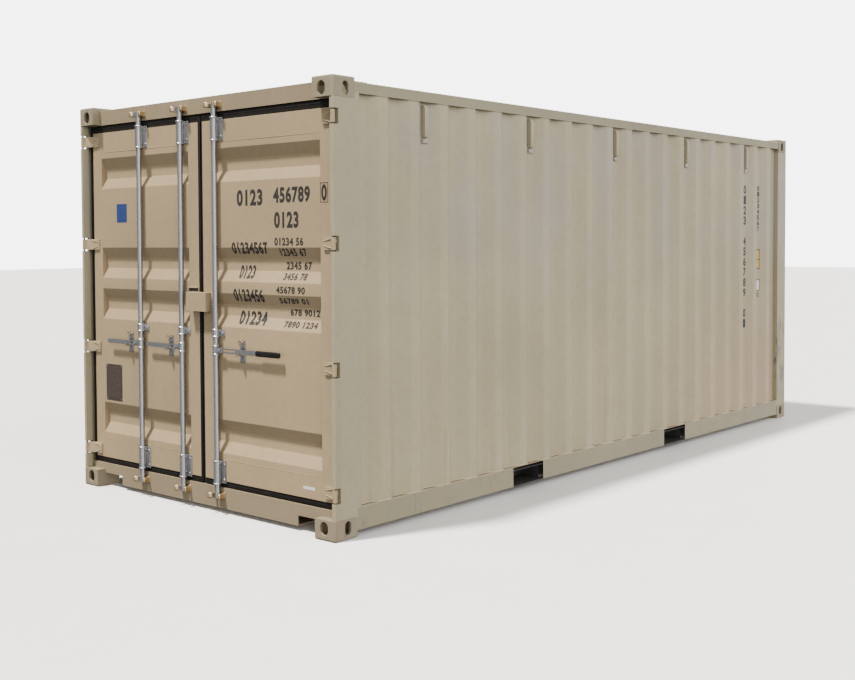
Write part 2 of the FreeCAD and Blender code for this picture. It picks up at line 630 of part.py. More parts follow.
def fork_pocket_sides():
    """Two side plates across the base for each tunnel."""
    under_rail = SIDE_FACE - BOTTOM_RAIL_FLANGE
    return Part.makeCompound([
        box((centre + sign * POCKET_WIDTH / 2, centre + sign * (POCKET_WIDTH / 2 + POCKET_PLATE)),
            (-under_rail, under_rail), (BOTTOM_RAIL_BASE, FLOOR_BASE - POCKET_PLATE))
        for centre in POCKET_CENTRES for sign in (-1, 1)])


def fork_pocket_tops():
    """A top plate for each tunnel, and a short one inside each rail."""
    half = POCKET_WIDTH / 2
    under_rail = SIDE_FACE - BOTTOM_RAIL_FLANGE
    inside_rail = SIDE_FACE - BOTTOM_RAIL_THICKNESS
    plates = []
    for centre in POCKET_CENTRES:
        plates.append(box((centre - half - POCKET_PLATE, centre + half + POCKET_PLATE),
                          (-under_rail, under_rail), (FLOOR_BASE - POCKET_PLATE, FLOOR_BASE)))
        plates += [box((centre - half, centre + half), (side * under_rail, side * inside_rail),
                       (FLOOR_BASE - POCKET_PLATE, FLOOR_BASE)) for side in (-1, 1)]
    return Part.makeCompound(plates)


def fork_pocket_straps():
    """Flat straps under the tunnels' mouths."""
    return Part.makeCompound([
        box((centre - POCKET_WIDTH / 2, centre + POCKET_WIDTH / 2),
            (side * (SIDE_FACE - STRAP_WIDTH), side * SIDE_FACE),
            (BOTTOM_RAIL_BASE, BOTTOM_RAIL_BASE + STRAP_THICKNESS))
        for centre in POCKET_CENTRES for side in (-1, 1)])


def side_vents():
    """Narrow ventilator boxes in every fourth recess, under the top rail."""
    crests = wall_crests()
    recesses = [(low + high) / 2 for low, high in zip(crests, crests[1:])]
    back = WALL_OUTER - FLUTE_DEPTH
    top = TOP_RAIL_BASE - VENT_DROP
    vents = []
    for place in recesses[1::VENT_EVERY]:
        body = box((place - VENT_WIDTH / 2, place + VENT_WIDTH / 2), (back, back + VENT_DEPTH),
                   (top - VENT_HEIGHT, top))
        foot = box((place - VENT_FOOT_WIDTH / 2, place + VENT_FOOT_WIDTH / 2), (back, back + VENT_FOOT_DEPTH),
                   (top - VENT_HEIGHT - VENT_FOOT_HEIGHT, top - VENT_HEIGHT))
        vents.append(fused([body, foot]))
    return Part.makeCompound(vents)


# ---------------------------------------------------------------- door leaf
def leaf_frame():
    """The left leaf's stiles and rails, open box sections welded at the corners."""
    inner, outer = LEAF_CENTRE_GAP, LEAF_OUTER_Y
    wall = LEAF_WALL

    def hollow(y_range, z_range, open_ends):
        outside = box((LEAF_FACE, LEAF_BACK), y_range, z_range)
        y_cut, z_cut = (wall, -1) if open_ends == "z" else (-1, wall)
        inside = box((LEAF_FACE + wall, LEAF_BACK - wall), (y_range[0] + y_cut, y_range[1] - y_cut),
                     (z_range[0] + z_cut, z_range[1] - z_cut))
        return outside.cut(inside)

    stiles = [hollow((inner, inner + STILE_WIDTH), (LEAF_BASE, LEAF_TOP), "z"),
              hollow((outer - STILE_WIDTH, outer), (LEAF_BASE, LEAF_TOP), "z")]
    between = (inner + STILE_WIDTH, outer - STILE_WIDTH)
    rails = [hollow(between, (LEAF_BASE, LEAF_BASE + DOOR_RAIL_HEIGHT), "y"),
             hollow(between, (LEAF_TOP - DOOR_RAIL_HEIGHT, LEAF_TOP), "y")]
    return fused(stiles + rails)


def leaf_panel():
    """The leaf's sheet, pressed with four level flutes."""
    line = flute_line(PANEL_BASE, PANEL_TOP, DOOR_FLUTE_LEVELS, DOOR_FLUTE_FLAT, DOOR_FLUTE_SLOPE,
                      LEAF_FACE + DOOR_FLUTE_DEPTH, LEAF_FACE)
    outline = sheet_profile(line, WALL_SHEET)
    start_y, end_y = LEAF_CENTRE_GAP + STILE_WIDTH, LEAF_OUTER_Y - STILE_WIDTH
    return prism(outline, lambda z, x: FreeCAD.Vector(x, start_y, z), ACROSS * (end_y - start_y))


def leaf_gasket():
    """The rubber seal round the left leaf's edge."""
    inner = box((GASKET_FACE - 1, GASKET_BACK + 1), (LEAF_CENTRE_GAP, LEAF_OUTER_Y), (LEAF_BASE, LEAF_TOP))
    outer = box((GASKET_FACE, GASKET_BACK), (GASKET_CENTRE_GAP, NOSE_INNER_Y - TOUCH_GAP),
                (SILL_TOP + TOUCH_GAP, HEADER_BASE - TOUCH_GAP))
    return outer.cut(inner)


def hinge_blades():
    """The left leaf's hinge blades: plate on the leaf, joggle, and knuckle."""
    plate_front = LEAF_FACE - BLADE_THICKNESS
    plate_start = LEAF_OUTER_Y - BLADE_LENGTH
    plate = [(plate_front, plate_start), (LEAF_FACE, plate_start), (LEAF_FACE, LEAF_OUTER_Y),
             (PIN_X + KNUCKLE_RADIUS - 1, PIN_Y), (PIN_X, PIN_Y), (PIN_X, PIN_Y - KNUCKLE_RADIUS + 1),
             (plate_front, LEAF_OUTER_Y - BLADE_THICKNESS / 2)]
    blades = []
    for level in HINGE_LEVELS:
        low, high = level - HINGE_HEIGHT / 2, level + HINGE_HEIGHT / 2
        knuckle = cylinder(KNUCKLE_RADIUS, (PIN_X, PIN_Y), low, high)
        bore = cylinder(PIN_RADIUS + PIN_FIT, (PIN_X, PIN_Y), low - 1, high + 1)
        blades.append(fused([upright(plate, low, high), knuckle]).cut(bore))
    return blades


def rod_bracket(rod_y, low, high):
    """A bearing on the leaf: plate, and a sleeve that the bar turns in."""
    plate = box((LEAF_FACE - BRACKET_PLATE, LEAF_FACE),
                (rod_y - BRACKET_HALF_WIDTH, rod_y + BRACKET_HALF_WIDTH), (low, high))
    sleeve = cylinder(SLEEVE_RADIUS, (BAR_X, rod_y), low, high)
    web = box((BAR_X, LEAF_FACE), (rod_y - SLEEVE_RADIUS, rod_y + SLEEVE_RADIUS), (low, high))
    bore = cylinder(BAR_RADIUS + SLEEVE_FIT, (BAR_X, rod_y), low - 1, high + 1)
    return fused([plate, sleeve, web]).cut(bore)


def bar_brackets(rods):
    """Top, bottom and middle bearings of each bar on one leaf."""
    mirror_level = LEAF_BASE + LEAF_TOP
    low = (LEAF_BASE + BRACKET_INSET - BRACKET_HEIGHT / 2, LEAF_BASE + BRACKET_INSET + BRACKET_HEIGHT / 2)
    middle = (GUIDE_Z - GUIDE_HEIGHT / 2, GUIDE_Z + GUIDE_HEIGHT / 2)
    top = (mirror_level - low[1], mirror_level - low[0])
    ranges = (low, middle, top)
    return [rod_bracket(rod, low, high) for rod in rods for low, high in ranges]


def handle_catch(rod_y, reach):
    """A plate with a shelf and lip that holds the closed handle."""
    middle = rod_y + reach
    half = CATCH_PLATE_WIDTH / 2
    plate = box((LEAF_FACE - BRACKET_PLATE, LEAF_FACE), (middle - half, middle + half),
                (HANDLE_Z - CATCH_PLATE_HEIGHT / 2, HANDLE_Z + CATCH_PLATE_HEIGHT / 2))
    seat = HANDLE_Z - HANDLE_HEIGHT / 2 - EAR_GAP
    front = HANDLE_X - HANDLE_THICKNESS / 2 - TOUCH_GAP
    shelf = box((front, LEAF_FACE), (middle - half / 2, middle + half / 2), (seat - CATCH_SHELF, seat))
    lip = box((front - CATCH_SHELF, front), (middle - half / 2, middle + half / 2),
              (seat - CATCH_SHELF, seat + CATCH_LIP))
    return fused([plate, shelf, lip])


# ---------------------------------------------------------------- bars and handles
def cam_sector(rod_y, low, high):
    """The hooked cam on a bar's end, pointing the way the handle points."""
    def on_arc(radius, angle):
        turn = math.radians(angle)
        return FreeCAD.Vector(BAR_X + radius * math.cos(turn), rod_y + radius * math.sin(turn), low)

    centre = FreeCAD.Vector(BAR_X, rod_y, low)
    first, last = on_arc(CAM_RADIUS, CAM_FROM_ANGLE), on_arc(CAM_RADIUS, CAM_TO_ANGLE)
    crown = on_arc(CAM_RADIUS, (CAM_FROM_ANGLE + CAM_TO_ANGLE) / 2)
    edges = [Part.makeLine(centre, first), Part.Arc(first, crown, last).toShape(),
             Part.makeLine(last, centre)]
    return Part.Face(Part.Wire(edges)).extrude(UP * (high - low))


def locking_bar(rod_y):
    """A bar with a cam at each end and the hub that carries its handle."""
    half_cam = CAM_HEIGHT / 2
    rod = cylinder(BAR_RADIUS, (BAR_X, rod_y), BAR_CAM_Z - half_cam, BAR_TOP_Z + half_cam)
    cams = [cam_sector(rod_y, level - half_cam, level + half_cam) for level in (BAR_CAM_Z, BAR_TOP_Z)]
    hub = cylinder(HUB_RADIUS, (BAR_X, rod_y), HANDLE_Z - HUB_HEIGHT / 2, HANDLE_Z + HUB_HEIGHT / 2)
    ears = []
    for side in (-1, 1):
        inner = HANDLE_X + side * (HANDLE_THICKNESS / 2 + EAR_GAP)
        ears.append(box((inner, inner + side * EAR_THICKNESS),
                        (rod_y, rod_y + PIVOT_REACH + EAR_OVERRUN),
                        (HANDLE_Z - HANDLE_HEIGHT / 2, HANDLE_Z + HANDLE_HEIGHT / 2)))
    slot = box((HANDLE_X - HANDLE_THICKNESS / 2 - EAR_GAP, HANDLE_X + HANDLE_THICKNESS / 2 + EAR_GAP),
               (rod_y + BAR_RADIUS, rod_y + HUB_RADIUS + 1),
               (HANDLE_Z - HANDLE_HEIGHT, HANDLE_Z + HANDLE_HEIGHT))
    reach = HANDLE_THICKNESS / 2 + EAR_GAP + EAR_THICKNESS
    bolt = Part.makeCylinder(PIVOT_RADIUS, 2 * reach,
                             FreeCAD.Vector(HANDLE_X - reach, rod_y + PIVOT_REACH, HANDLE_Z), ALONG)
    return fused([rod, hub] + cams + ears).cut(slot).fuse(bolt).removeSplitter()


def handle(rod_y, reach):
    """The flat lever, hung on its bolt, reaching sideways from the bar."""
    start = rod_y + PIVOT_REACH
    arm = box((HANDLE_X - HANDLE_THICKNESS / 2, HANDLE_X + HANDLE_THICKNESS / 2), (start, rod_y + reach),
              (HANDLE_Z - HANDLE_HEIGHT / 2, HANDLE_Z + HANDLE_HEIGHT / 2))
    eye = Part.makeCylinder(HANDLE_HEIGHT / 2, HANDLE_THICKNESS,
                            FreeCAD.Vector(HANDLE_X - HANDLE_THICKNESS / 2, start, HANDLE_Z), ALONG)
    bore = Part.makeCylinder(PIVOT_RADIUS + PIN_FIT, HANDLE_THICKNESS + 2,
                             FreeCAD.Vector(HANDLE_X - HANDLE_THICKNESS / 2 - 1, start, HANDLE_Z), ALONG)
    return fused([arm, eye]).cut(bore)


def handle_grip(rod_y):
    """The rubber grip sleeved over the long handle."""
    end = rod_y + GRIP_REACH
    body = box((HANDLE_X - GRIP_THICKNESS / 2, HANDLE_X + GRIP_THICKNESS / 2), (end - GRIP_LENGTH, end),
               (HANDLE_Z - GRIP_HEIGHT / 2, HANDLE_Z + GRIP_HEIGHT / 2))
    long_edges = [edge for edge in body.Edges
                  if abs(edge.Vertexes[0].Y - edge.Vertexes[-1].Y) > GRIP_LENGTH / 2]
    body = body.makeFillet(GRIP_EDGE_RADIUS, long_edges)
    arm = box((HANDLE_X - HANDLE_THICKNESS / 2, HANDLE_X + HANDLE_THICKNESS / 2),
              (end - GRIP_LENGTH - 1, end - GRIP_END_WALL),
              (HANDLE_Z - HANDLE_HEIGHT / 2, HANDLE_Z + HANDLE_HEIGHT / 2))
    return body.cut(arm)


def keeper_pair(rod_y, level):
    """Two hooks on the frame that trap one cam."""
    low, high = level - KEEPER_HEIGHT / 2, level + KEEPER_HEIGHT / 2
    bore = cylinder(CAM_RADIUS + TOUCH_GAP, (BAR_X, rod_y), low - 1, high + 1)
    hooks = []
    for side in (-1, 1):
        hook = box((BAR_X - KEEPER_FRONT, HEADER_FACE),
                   (rod_y + side * KEEPER_INNER, rod_y + side * KEEPER_HALF_WIDTH), (low, high))
        hooks.append(hook.cut(bore))
    return hooks


# ---------------------------------------------------------------- lock box
def lock_box():
    """The padlock guard on the right leaf, open at the back and below."""
    back = LEAF_FACE - TOUCH_GAP
    front = -HALF_LENGTH + LOCK_BOX_FRONT
    low, high = LOCK_BOX_Z - LOCK_BOX_HEIGHT / 2, LOCK_BOX_Z + LOCK_BOX_HEIGHT / 2
    shell = box((front, back), (-LOCK_BOX_RIGHT, LOCK_BOX_LEFT), (low, high))
    room = box((front + LOCK_BOX_WALL, back + 1),
               (-LOCK_BOX_RIGHT + LOCK_BOX_WALL, LOCK_BOX_LEFT - LOCK_BOX_WALL),
               (low - 1, high - LOCK_BOX_WALL))
    foot = box((back - LOCK_BOX_WALL, LEAF_FACE),
               (-LOCK_BOX_RIGHT - LOCK_BOX_BRACKET, -LOCK_BOX_RIGHT + LOCK_BOX_WALL), (low, high))
    lug = lock_lug(-LUG_Y)
    tie = box((back - LOCK_BOX_WALL, LEAF_FACE), (-LOCK_BOX_RIGHT, -LUG_Y), (high - LUG_WIDTH, high))
    return fused([shell.cut(room), foot, tie]), lug


def lock_lug(lug_y):
    """A drilled plate for the padlock, welded to a leaf."""
    lug = box((LEAF_FACE - LUG_REACH, LEAF_FACE), (lug_y - LUG_WIDTH / 2, lug_y + LUG_WIDTH / 2),
              (LOCK_BOX_Z - LUG_HEIGHT / 2, LOCK_BOX_Z + LUG_HEIGHT / 2))
    eye_start = FreeCAD.Vector(LEAF_FACE - LUG_EYE_REACH, lug_y - LUG_WIDTH / 2 - 1, LOCK_BOX_Z)
    return lug.cut(Part.makeCylinder(LUG_EYE_RADIUS, LUG_WIDTH + 2, eye_start, ACROSS))


# ---------------------------------------------------------------- the whole container
def frame_nodes():
    """The fixed structure: corners, rails, walls, roof, floor and base."""
    nodes = corner_castings()
    for name, make in (("rear_post", rear_post), ("front_post", front_post),
                       ("bottom_side_rail", bottom_side_rail), ("top_side_rail", top_side_rail),
                       ("side_wall", side_wall), ("side_vents", side_vents)):
        left = make()
        nodes["left_" + name] = left
        nodes["right_" + name] = mirrored(left)
    nodes["front_top_rail"] = front_top_rail()
    nodes["front_bottom_rail"] = front_bottom_rail()
    nodes["front_wall"] = front_wall()
    nodes["door_header"] = door_header()
    nodes["door_sill"] = door_sill()
    nodes["roof"] = roof()
    nodes["front_header_plate"] = front_header_plate()
    nodes["roof_corner_plates"] = roof_corner_plates()
    nodes["cargo_floor"] = cargo_floor()
    nodes["cross_members"] = cross_members()
    nodes["fork_pocket_sides"] = fork_pocket_sides()
    nodes["fork_pocket_tops"] = fork_pocket_tops()
    nodes["fork_pocket_straps"] = fork_pocket_straps()
    nodes["rail_bridges"] = rail_bridges()
    nodes["hinge_pins"] = Part.makeCompound([pair(pin) for pin in hinge_pins()])
    levels = (BAR_CAM_Z, BAR_TOP_Z)
    keepers = [hook for rod in (BAR_OUTER_Y, BAR_INNER_Y, -BAR_INNER_Y) for level in levels
               for hook in keeper_pair(rod, level)]
    nodes["bar_keepers"] = Part.makeCompound(keepers)
    return nodes


def door_nodes():
    """Both leaves with their sheet, seal, hinges and fittings."""
    nodes = {}
    for name, shape in (("frame", leaf_frame()), ("panel", leaf_panel()), ("gasket", leaf_gasket()),
                        ("hinge_blades", Part.makeCompound(hinge_blades()))):
        nodes["left_door_" + name] = shape
        nodes["right_door_" + name] = mirrored(shape)
    nodes["left_door_brackets"] = Part.makeCompound(bar_brackets((BAR_OUTER_Y, BAR_INNER_Y)))
    nodes["right_door_brackets"] = mirrored(Part.makeCompound(bar_brackets((BAR_INNER_Y,))))
    nodes["left_door_catches"] = Part.makeCompound(
        [handle_catch(rod, CATCH_REACH) for rod in (BAR_OUTER_Y, BAR_INNER_Y)])
    nodes["right_door_catch"] = mirrored(handle_catch(BAR_INNER_Y, GRIP_CATCH_REACH))
    guard, lug = lock_box()
    nodes["lock_box"] = guard
    nodes["right_door_lock_lug"] = lug
    nodes["left_door_lock_lug"] = lock_lug(LUG_Y)
    return nodes


def bar_nodes():
    """The three locking bars and their handles."""
    return {"bar_1": locking_bar(BAR_OUTER_Y),
            "bar_2": locking_bar(BAR_INNER_Y),
            "bar_3": mirrored(locking_bar(BAR_INNER_Y)),
            "handle_1": handle(BAR_OUTER_Y, HANDLE_REACH),
            "handle_2": handle(BAR_INNER_Y, HANDLE_REACH),
            "handle_3": mirrored(handle(BAR_INNER_Y, GRIP_REACH - GRIP_END_WALL)),
            "handle_3_grip": mirrored(handle_grip(BAR_INNER_Y))}


def main():
    """Write one STEP file for each named piece."""
    os.makedirs("parts", exist_ok=True)
    for group in (frame_nodes(), door_nodes(), bar_nodes()):
        for name, shape in group.items():
            shape.exportStep("parts/" + name + ".step")
            print(name, len(shape.Solids), round(shape.Volume / 1e9, 5))


main()
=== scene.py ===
import json
import logging
import math
from dataclasses import dataclass, field
from enum import Enum
from typing import Callable, Optional, Sequence

import bmesh
import bpy
from mathutils import Matrix, Vector

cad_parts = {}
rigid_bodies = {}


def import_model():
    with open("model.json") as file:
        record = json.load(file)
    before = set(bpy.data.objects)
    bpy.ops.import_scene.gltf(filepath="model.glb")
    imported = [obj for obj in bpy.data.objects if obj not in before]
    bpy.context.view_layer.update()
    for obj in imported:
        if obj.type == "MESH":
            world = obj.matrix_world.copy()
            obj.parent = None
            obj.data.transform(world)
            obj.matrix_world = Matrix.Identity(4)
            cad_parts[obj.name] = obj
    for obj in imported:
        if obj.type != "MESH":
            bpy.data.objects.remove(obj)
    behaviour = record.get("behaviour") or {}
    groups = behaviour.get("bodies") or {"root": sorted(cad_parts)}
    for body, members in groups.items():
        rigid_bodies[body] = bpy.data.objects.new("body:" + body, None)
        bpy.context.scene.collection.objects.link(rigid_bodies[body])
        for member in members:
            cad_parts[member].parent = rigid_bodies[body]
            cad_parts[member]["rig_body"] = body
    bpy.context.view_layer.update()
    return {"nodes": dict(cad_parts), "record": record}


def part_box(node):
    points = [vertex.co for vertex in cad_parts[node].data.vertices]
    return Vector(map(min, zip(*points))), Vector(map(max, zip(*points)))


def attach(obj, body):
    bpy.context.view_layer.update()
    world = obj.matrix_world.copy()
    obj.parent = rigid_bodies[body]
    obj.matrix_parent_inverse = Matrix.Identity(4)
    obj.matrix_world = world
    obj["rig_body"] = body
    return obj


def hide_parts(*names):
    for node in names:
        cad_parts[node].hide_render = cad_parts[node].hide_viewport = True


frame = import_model()
LOG = logging.getLogger("container")

MERGE = 1e-5
FLAT = math.radians(0.6)
UP = Vector((0, 0, 1))
ALONG = Vector((1, 0, 0))
ACROSS = Vector((0, 1, 0))
Colour = tuple[float, float, float]
Box = tuple[Vector, Vector]
Outline = Sequence[tuple[float, float]]


class Side(Enum):
    """The two sides of the container; the value is the sign of Y."""

    LEFT = 1
    RIGHT = -1

    @property
    def word(self) -> str:
        """The side's name as the CAD nodes spell it."""
        return self.name.lower()


# ------------------------------------------------------------------ reading the frame
def merged_copy(node: str) -> bmesh.types.BMesh:
    """Copies a CAD node's mesh with its loose triangles merged.

    Args:
        node: the CAD node's name.

    Returns:
        A new bmesh, which the caller frees.
    """
    shape = bmesh.new()
    shape.from_mesh(frame["nodes"][node].data)
    bmesh.ops.remove_doubles(shape, verts=shape.verts, dist=MERGE)
    return shape


def solid_boxes(node: str) -> list[Box]:
    """Measures each separate solid of a CAD node.

    Args:
        node: the CAD node's name.

    Returns:
        The lowest and highest corner of each solid, in order of Z, then X, then Y.
    """
    shape = merged_copy(node)
    left = set(shape.verts)
    boxes = []
    while left:
        stack = [left.pop()]
        low, high = stack[0].co.copy(), stack[0].co.copy()
        while stack:
            vertex = stack.pop()
            low = Vector(map(min, low, vertex.co))
            high = Vector(map(max, high, vertex.co))
            for edge in vertex.link_edges:
                other = edge.other_vert(vertex)
                if other in left:
                    left.remove(other)
                    stack.append(other)
        boxes.append((low, high))
    shape.free()
    return sorted(boxes, key=lambda box: tuple(round(box[0][axis], 3) for axis in (2, 0, 1)))


# ------------------------------------------------------------------ finishes
class Shades:
    """A material's node tree, with short ways to add what the finishes share."""

    def __init__(self, name: str) -> None:
        """Starts a material with a Principled shader.

        Args:
            name: the material's name.
        """
        self.material = bpy.data.materials.new(name)
        self.material.use_nodes = True
        self.tree = self.material.node_tree
        self.shader = self.tree.nodes["Principled BSDF"]
        self.place = self.tree.nodes.new("ShaderNodeTexCoord").outputs["Object"]
        self.height: Optional[bpy.types.NodeSocket] = None

    def join(self, value: object, socket: bpy.types.NodeSocket) -> None:
        """Links an output to a socket, or sets the socket to a plain value."""
        if isinstance(value, bpy.types.NodeSocket):
            self.tree.links.new(value, socket)
        elif isinstance(value, (tuple, list)) and len(value) == 3 and socket.type == "RGBA":
            socket.default_value = (*value, 1.0)
        else:
            socket.default_value = value

    def stretched(self, scale: Sequence[float]) -> bpy.types.NodeSocket:
        """Object coordinates, scaled by axis."""
        mapping = self.tree.nodes.new("ShaderNodeMapping")
        self.join(self.place, mapping.inputs["Vector"])
        mapping.inputs["Scale"].default_value = scale
        return mapping.outputs["Vector"]

    def noise(self, scale: float, detail: float = 4.0, stretch: Optional[Sequence[float]] = None,
              shift: float = 0.0) -> bpy.types.NodeSocket:
        """A noise value from 0 to 1.

        Args:
            scale: how many blotches there are to a metre.
            detail: how many finer layers are added.
            stretch: scale by axis, for streaks.
            shift: the noise's fourth coordinate, so that layers differ.

        Returns:
            The noise's value.
        """
        node = self.tree.nodes.new("ShaderNodeTexNoise")
        node.noise_dimensions = "4D"
        self.join(self.stretched(stretch) if stretch else self.place, node.inputs["Vector"])
        node.inputs["W"].default_value = shift
        node.inputs["Scale"].default_value = scale
        node.inputs["Detail"].default_value = detail
        return node.outputs["Fac"]

    def cells(self, scale: float) -> bpy.types.NodeSocket:
        """A random grey for each cell of a Voronoi pattern."""
        node = self.tree.nodes.new("ShaderNodeTexVoronoi")
        self.join(self.place, node.inputs["Vector"])
        node.inputs["Scale"].default_value = scale
        return node.outputs["Color"]

    def step(self, value: object, low: float, high: float, to_low: float = 0.0,
             to_high: float = 1.0) -> bpy.types.NodeSocket:
        """A smooth step of a value between two levels."""
        node = self.tree.nodes.new("ShaderNodeMapRange")
        node.interpolation_type = "SMOOTHSTEP"
        for socket, number in zip(node.inputs, (value, low, high, to_low, to_high)):
            self.join(number, socket)
        return node.outputs["Result"]

    def sum(self, operation: str, first: object, second: object) -> bpy.types.NodeSocket:
        """Two numbers joined by a Math operation."""
        node = self.tree.nodes.new("ShaderNodeMath")
        node.operation = operation
        self.join(first, node.inputs[0])
        self.join(second, node.inputs[1])
        return node.outputs[0]

    def both(self, *values: object) -> bpy.types.NodeSocket:
        """The product of several masks."""
        result = values[0]
        for value in values[1:]:
            result = self.sum("MULTIPLY", result, value)
        return result

    def axis(self, letter: str) -> bpy.types.NodeSocket:
        """One coordinate of the point, in metres."""
        node = self.tree.nodes.new("ShaderNodeSeparateXYZ")
        self.join(self.place, node.inputs[0])
        return node.outputs[letter]

    def mix(self, share: object, first: object, second: object) -> bpy.types.NodeSocket:
        """A colour between two colours."""
        node = self.tree.nodes.new("ShaderNodeMix")
        node.data_type = "RGBA"
        self.join(share, node.inputs["Factor"])
        self.join(first, node.inputs[6])
        self.join(second, node.inputs[7])
        return node.outputs[2]

    def corners(self, reach: float) -> bpy.types.NodeSocket:
        """How closed-in a point is, from 0 in the open to 1 deep in a corner."""
        node = self.tree.nodes.new("ShaderNodeAmbientOcclusion")
        node.samples = 6
        node.inputs["Distance"].default_value = reach
        return self.sum("SUBTRACT", 1.0, node.outputs["AO"])

    def bump(self, height: object, distance: float, strength: float = 1.0) -> None:
        """Adds a layer of relief over the layers before it.

        Args:
            height: the relief's height, from 0 to 1.
            distance: how many metres a height of 1 stands for.
            strength: how much of the relief shows.
        """
        node = self.tree.nodes.new("ShaderNodeBump")
        node.inputs["Strength"].default_value = strength
        node.inputs["Distance"].default_value = distance
        self.join(height, node.inputs["Height"])
        if self.height is not None:
            self.join(self.height, node.inputs["Normal"])
        self.height = node.outputs["Normal"]

    def finish(self, colour: object, roughness: object, metallic: object = 0.0, specular: float = 0.5,
               coat: float = 0.0) -> bpy.types.Material:
        """Joins the layers to the shader.

        Args:
            colour: the base colour.
            roughness: the roughness.
            metallic: how metallic it is, a number or a mask.
            specular: the specular level.
            coat: the weight of the clear coat.

        Returns:
            The finished material.
        """
        self.join(colour, self.shader.inputs["Base Color"])
        self.join(roughness, self.shader.inputs["Roughness"])
        self.join(metallic, self.shader.inputs["Metallic"])
        self.shader.inputs["Specular IOR Level"].default_value = specular
        self.shader.inputs["Coat Weight"].default_value = coat
        if self.height is not None:
            self.join(self.height, self.shader.inputs["Normal"])
        return self.material


@dataclass(frozen=True)
class ContainerPaint:
    """Sand-coloured chassis paint with dust, stains, scuffs, rust specks and painted shade in its corners."""

    name: str
    colour: Colour = (0.40, 0.335, 0.245)
    stain: float = 0.30
    scuffs: float = 0.15
    rust: float = 0.25
    # how strongly corners and creases are darkened: painted shade
    painted_shade: float = 0.55
    gloss: float = 0.50
    scuff_band: tuple[float, float] = (0.12, 0.85)
    # the dust colour also darkens corners and creases as painted shade
    dust: Colour = (0.17, 0.12, 0.065)
    stain_colour: Colour = (0.27, 0.155, 0.075)
    rust_colour: Colour = (0.13, 0.05, 0.02)
    bare_colour: Colour = (0.10, 0.085, 0.07)
    scuff_cut: float = 0.60
    # strength of the painted sky reflection: greyer patches high up
    painted_sky_reflection: float = 0.0
    warm: float = 0.0
    # colour of the painted sky reflection
    sky_reflection_colour: Colour = (0.29, 0.265, 0.225)
    warm_colour: Colour = (0.40, 0.265, 0.175)

    def build(self) -> bpy.types.Material:
        """Makes the material."""
        shades = Shades(self.name)
        height = shades.axis("Z")
        # broad fading, then fine dust
        pale = tuple(min(1.0, value * 1.07) for value in self.colour)
        deep = tuple(value * 0.90 for value in self.colour)
        tone = shades.mix(shades.step(shades.noise(0.8, 3), 0.3, 0.7), deep, pale)
        tone = shades.mix(shades.step(shades.noise(22, 6, shift=2), 0.35, 0.75, 0.0, 0.16), tone, self.dust)
        # upright stains: wide ones low down, thin runs all over
        low_down = shades.step(height, 1.4, 0.2)
        streaks = shades.step(shades.noise(1.0, 5, (11, 11, 0.55), 5), 0.50, 0.78)
        tone = shades.mix(shades.both(streaks, low_down, self.stain), tone, self.stain_colour)
        runs = shades.step(shades.noise(1.0, 3, (38, 38, 0.8), 9), 0.66, 0.80)
        tone = shades.mix(shades.both(runs, self.stain * 0.6), tone, self.stain_colour)
        # painted reflection: greyer patches high up, where the finish asks for them, stand for the sky's
        # reflection
        if self.painted_sky_reflection:
            reflection_patches = shades.both(shades.step(shades.noise(1.0, 3, (2.6, 2.6, 0.9), 41), 0.42, 0.66),
                                  shades.step(height, 1.0, 2.1), self.painted_sky_reflection)
            tone = shades.mix(reflection_patches, tone, self.sky_reflection_colour)
        # warmer towards +X and low down, where the finish asks for it
        if self.warm:
            warm_low_far = shades.both(shades.step(shades.axis("X"), 0.2, 2.4),
                                 shades.step(height, 1.5, 0.4), self.warm)
            tone = shades.mix(warm_low_far, tone, self.warm_colour)
        # painted shade: corners and creases, found by ambient occlusion, darkened towards the dust colour
        closed = shades.step(shades.corners(0.07), 0.28, 0.85)
        tone = shades.mix(shades.both(closed, shades.noise(9, 4, shift=4), self.painted_shade), tone, self.dust)
        # scuffs down to the steel in a band of heights, and specks of rust
        band = shades.both(shades.step(height, self.scuff_band[1] + 0.5, self.scuff_band[1] - 0.2),
                           shades.step(height, self.scuff_band[0] - 0.3, self.scuff_band[0] + 0.1))
        scratch = shades.step(shades.noise(1.0, 6, (30, 30, 7), 13), self.scuff_cut, self.scuff_cut + 0.08)
        patch = shades.step(shades.noise(3.5, 3, shift=17), 0.50, 0.62)
        worn = shades.both(scratch, patch, band, self.scuffs)
        tone = shades.mix(worn, tone, self.bare_colour)
        spots = shades.both(shades.step(shades.noise(85, 2, shift=21), 0.70, 0.76),
                            shades.step(shades.noise(2.4, 3, shift=23), 0.50, 0.66), self.rust)
        tone = shades.mix(spots, tone, self.rust_colour)
        # slight waviness under a fine orange peel
        shades.bump(shades.noise(1.6, 2, shift=31), 0.012, 0.22)
        shades.bump(shades.noise(320, 3, shift=33), 0.0006, 0.25)
        rough = shades.step(shades.noise(6, 5, shift=37), 0.2, 0.8, self.gloss - 0.07, self.gloss + 0.12)
        return shades.finish(tone, shades.sum("ADD", rough, shades.both(worn, 0.2)), specular=0.42)


@dataclass(frozen=True)
class WornEdgeHighlight:
    """A paint lighter than the faces for rounded edges, a painted highlight, chipped to bare steel where
    knocks have taken it off in places.
    """

    name: str
    colour: Colour = (0.345, 0.275, 0.170)
    bare: Colour = (0.10, 0.07, 0.05)
    share: float = 0.35

    def build(self) -> bpy.types.Material:
        """Makes the material."""
        shades = Shades(self.name)
        chipped = shades.both(shades.step(shades.noise(26, 4), 0.56, 0.66),
                              shades.step(shades.noise(1.9, 3, shift=3), 0.42, 0.64), self.share)
        tone = shades.mix(chipped, self.colour, self.bare)
        shades.bump(shades.noise(260, 3), 0.0006, 0.25)
        return shades.finish(tone, shades.step(chipped, 0, 1, 0.5, 0.75), specular=0.42)


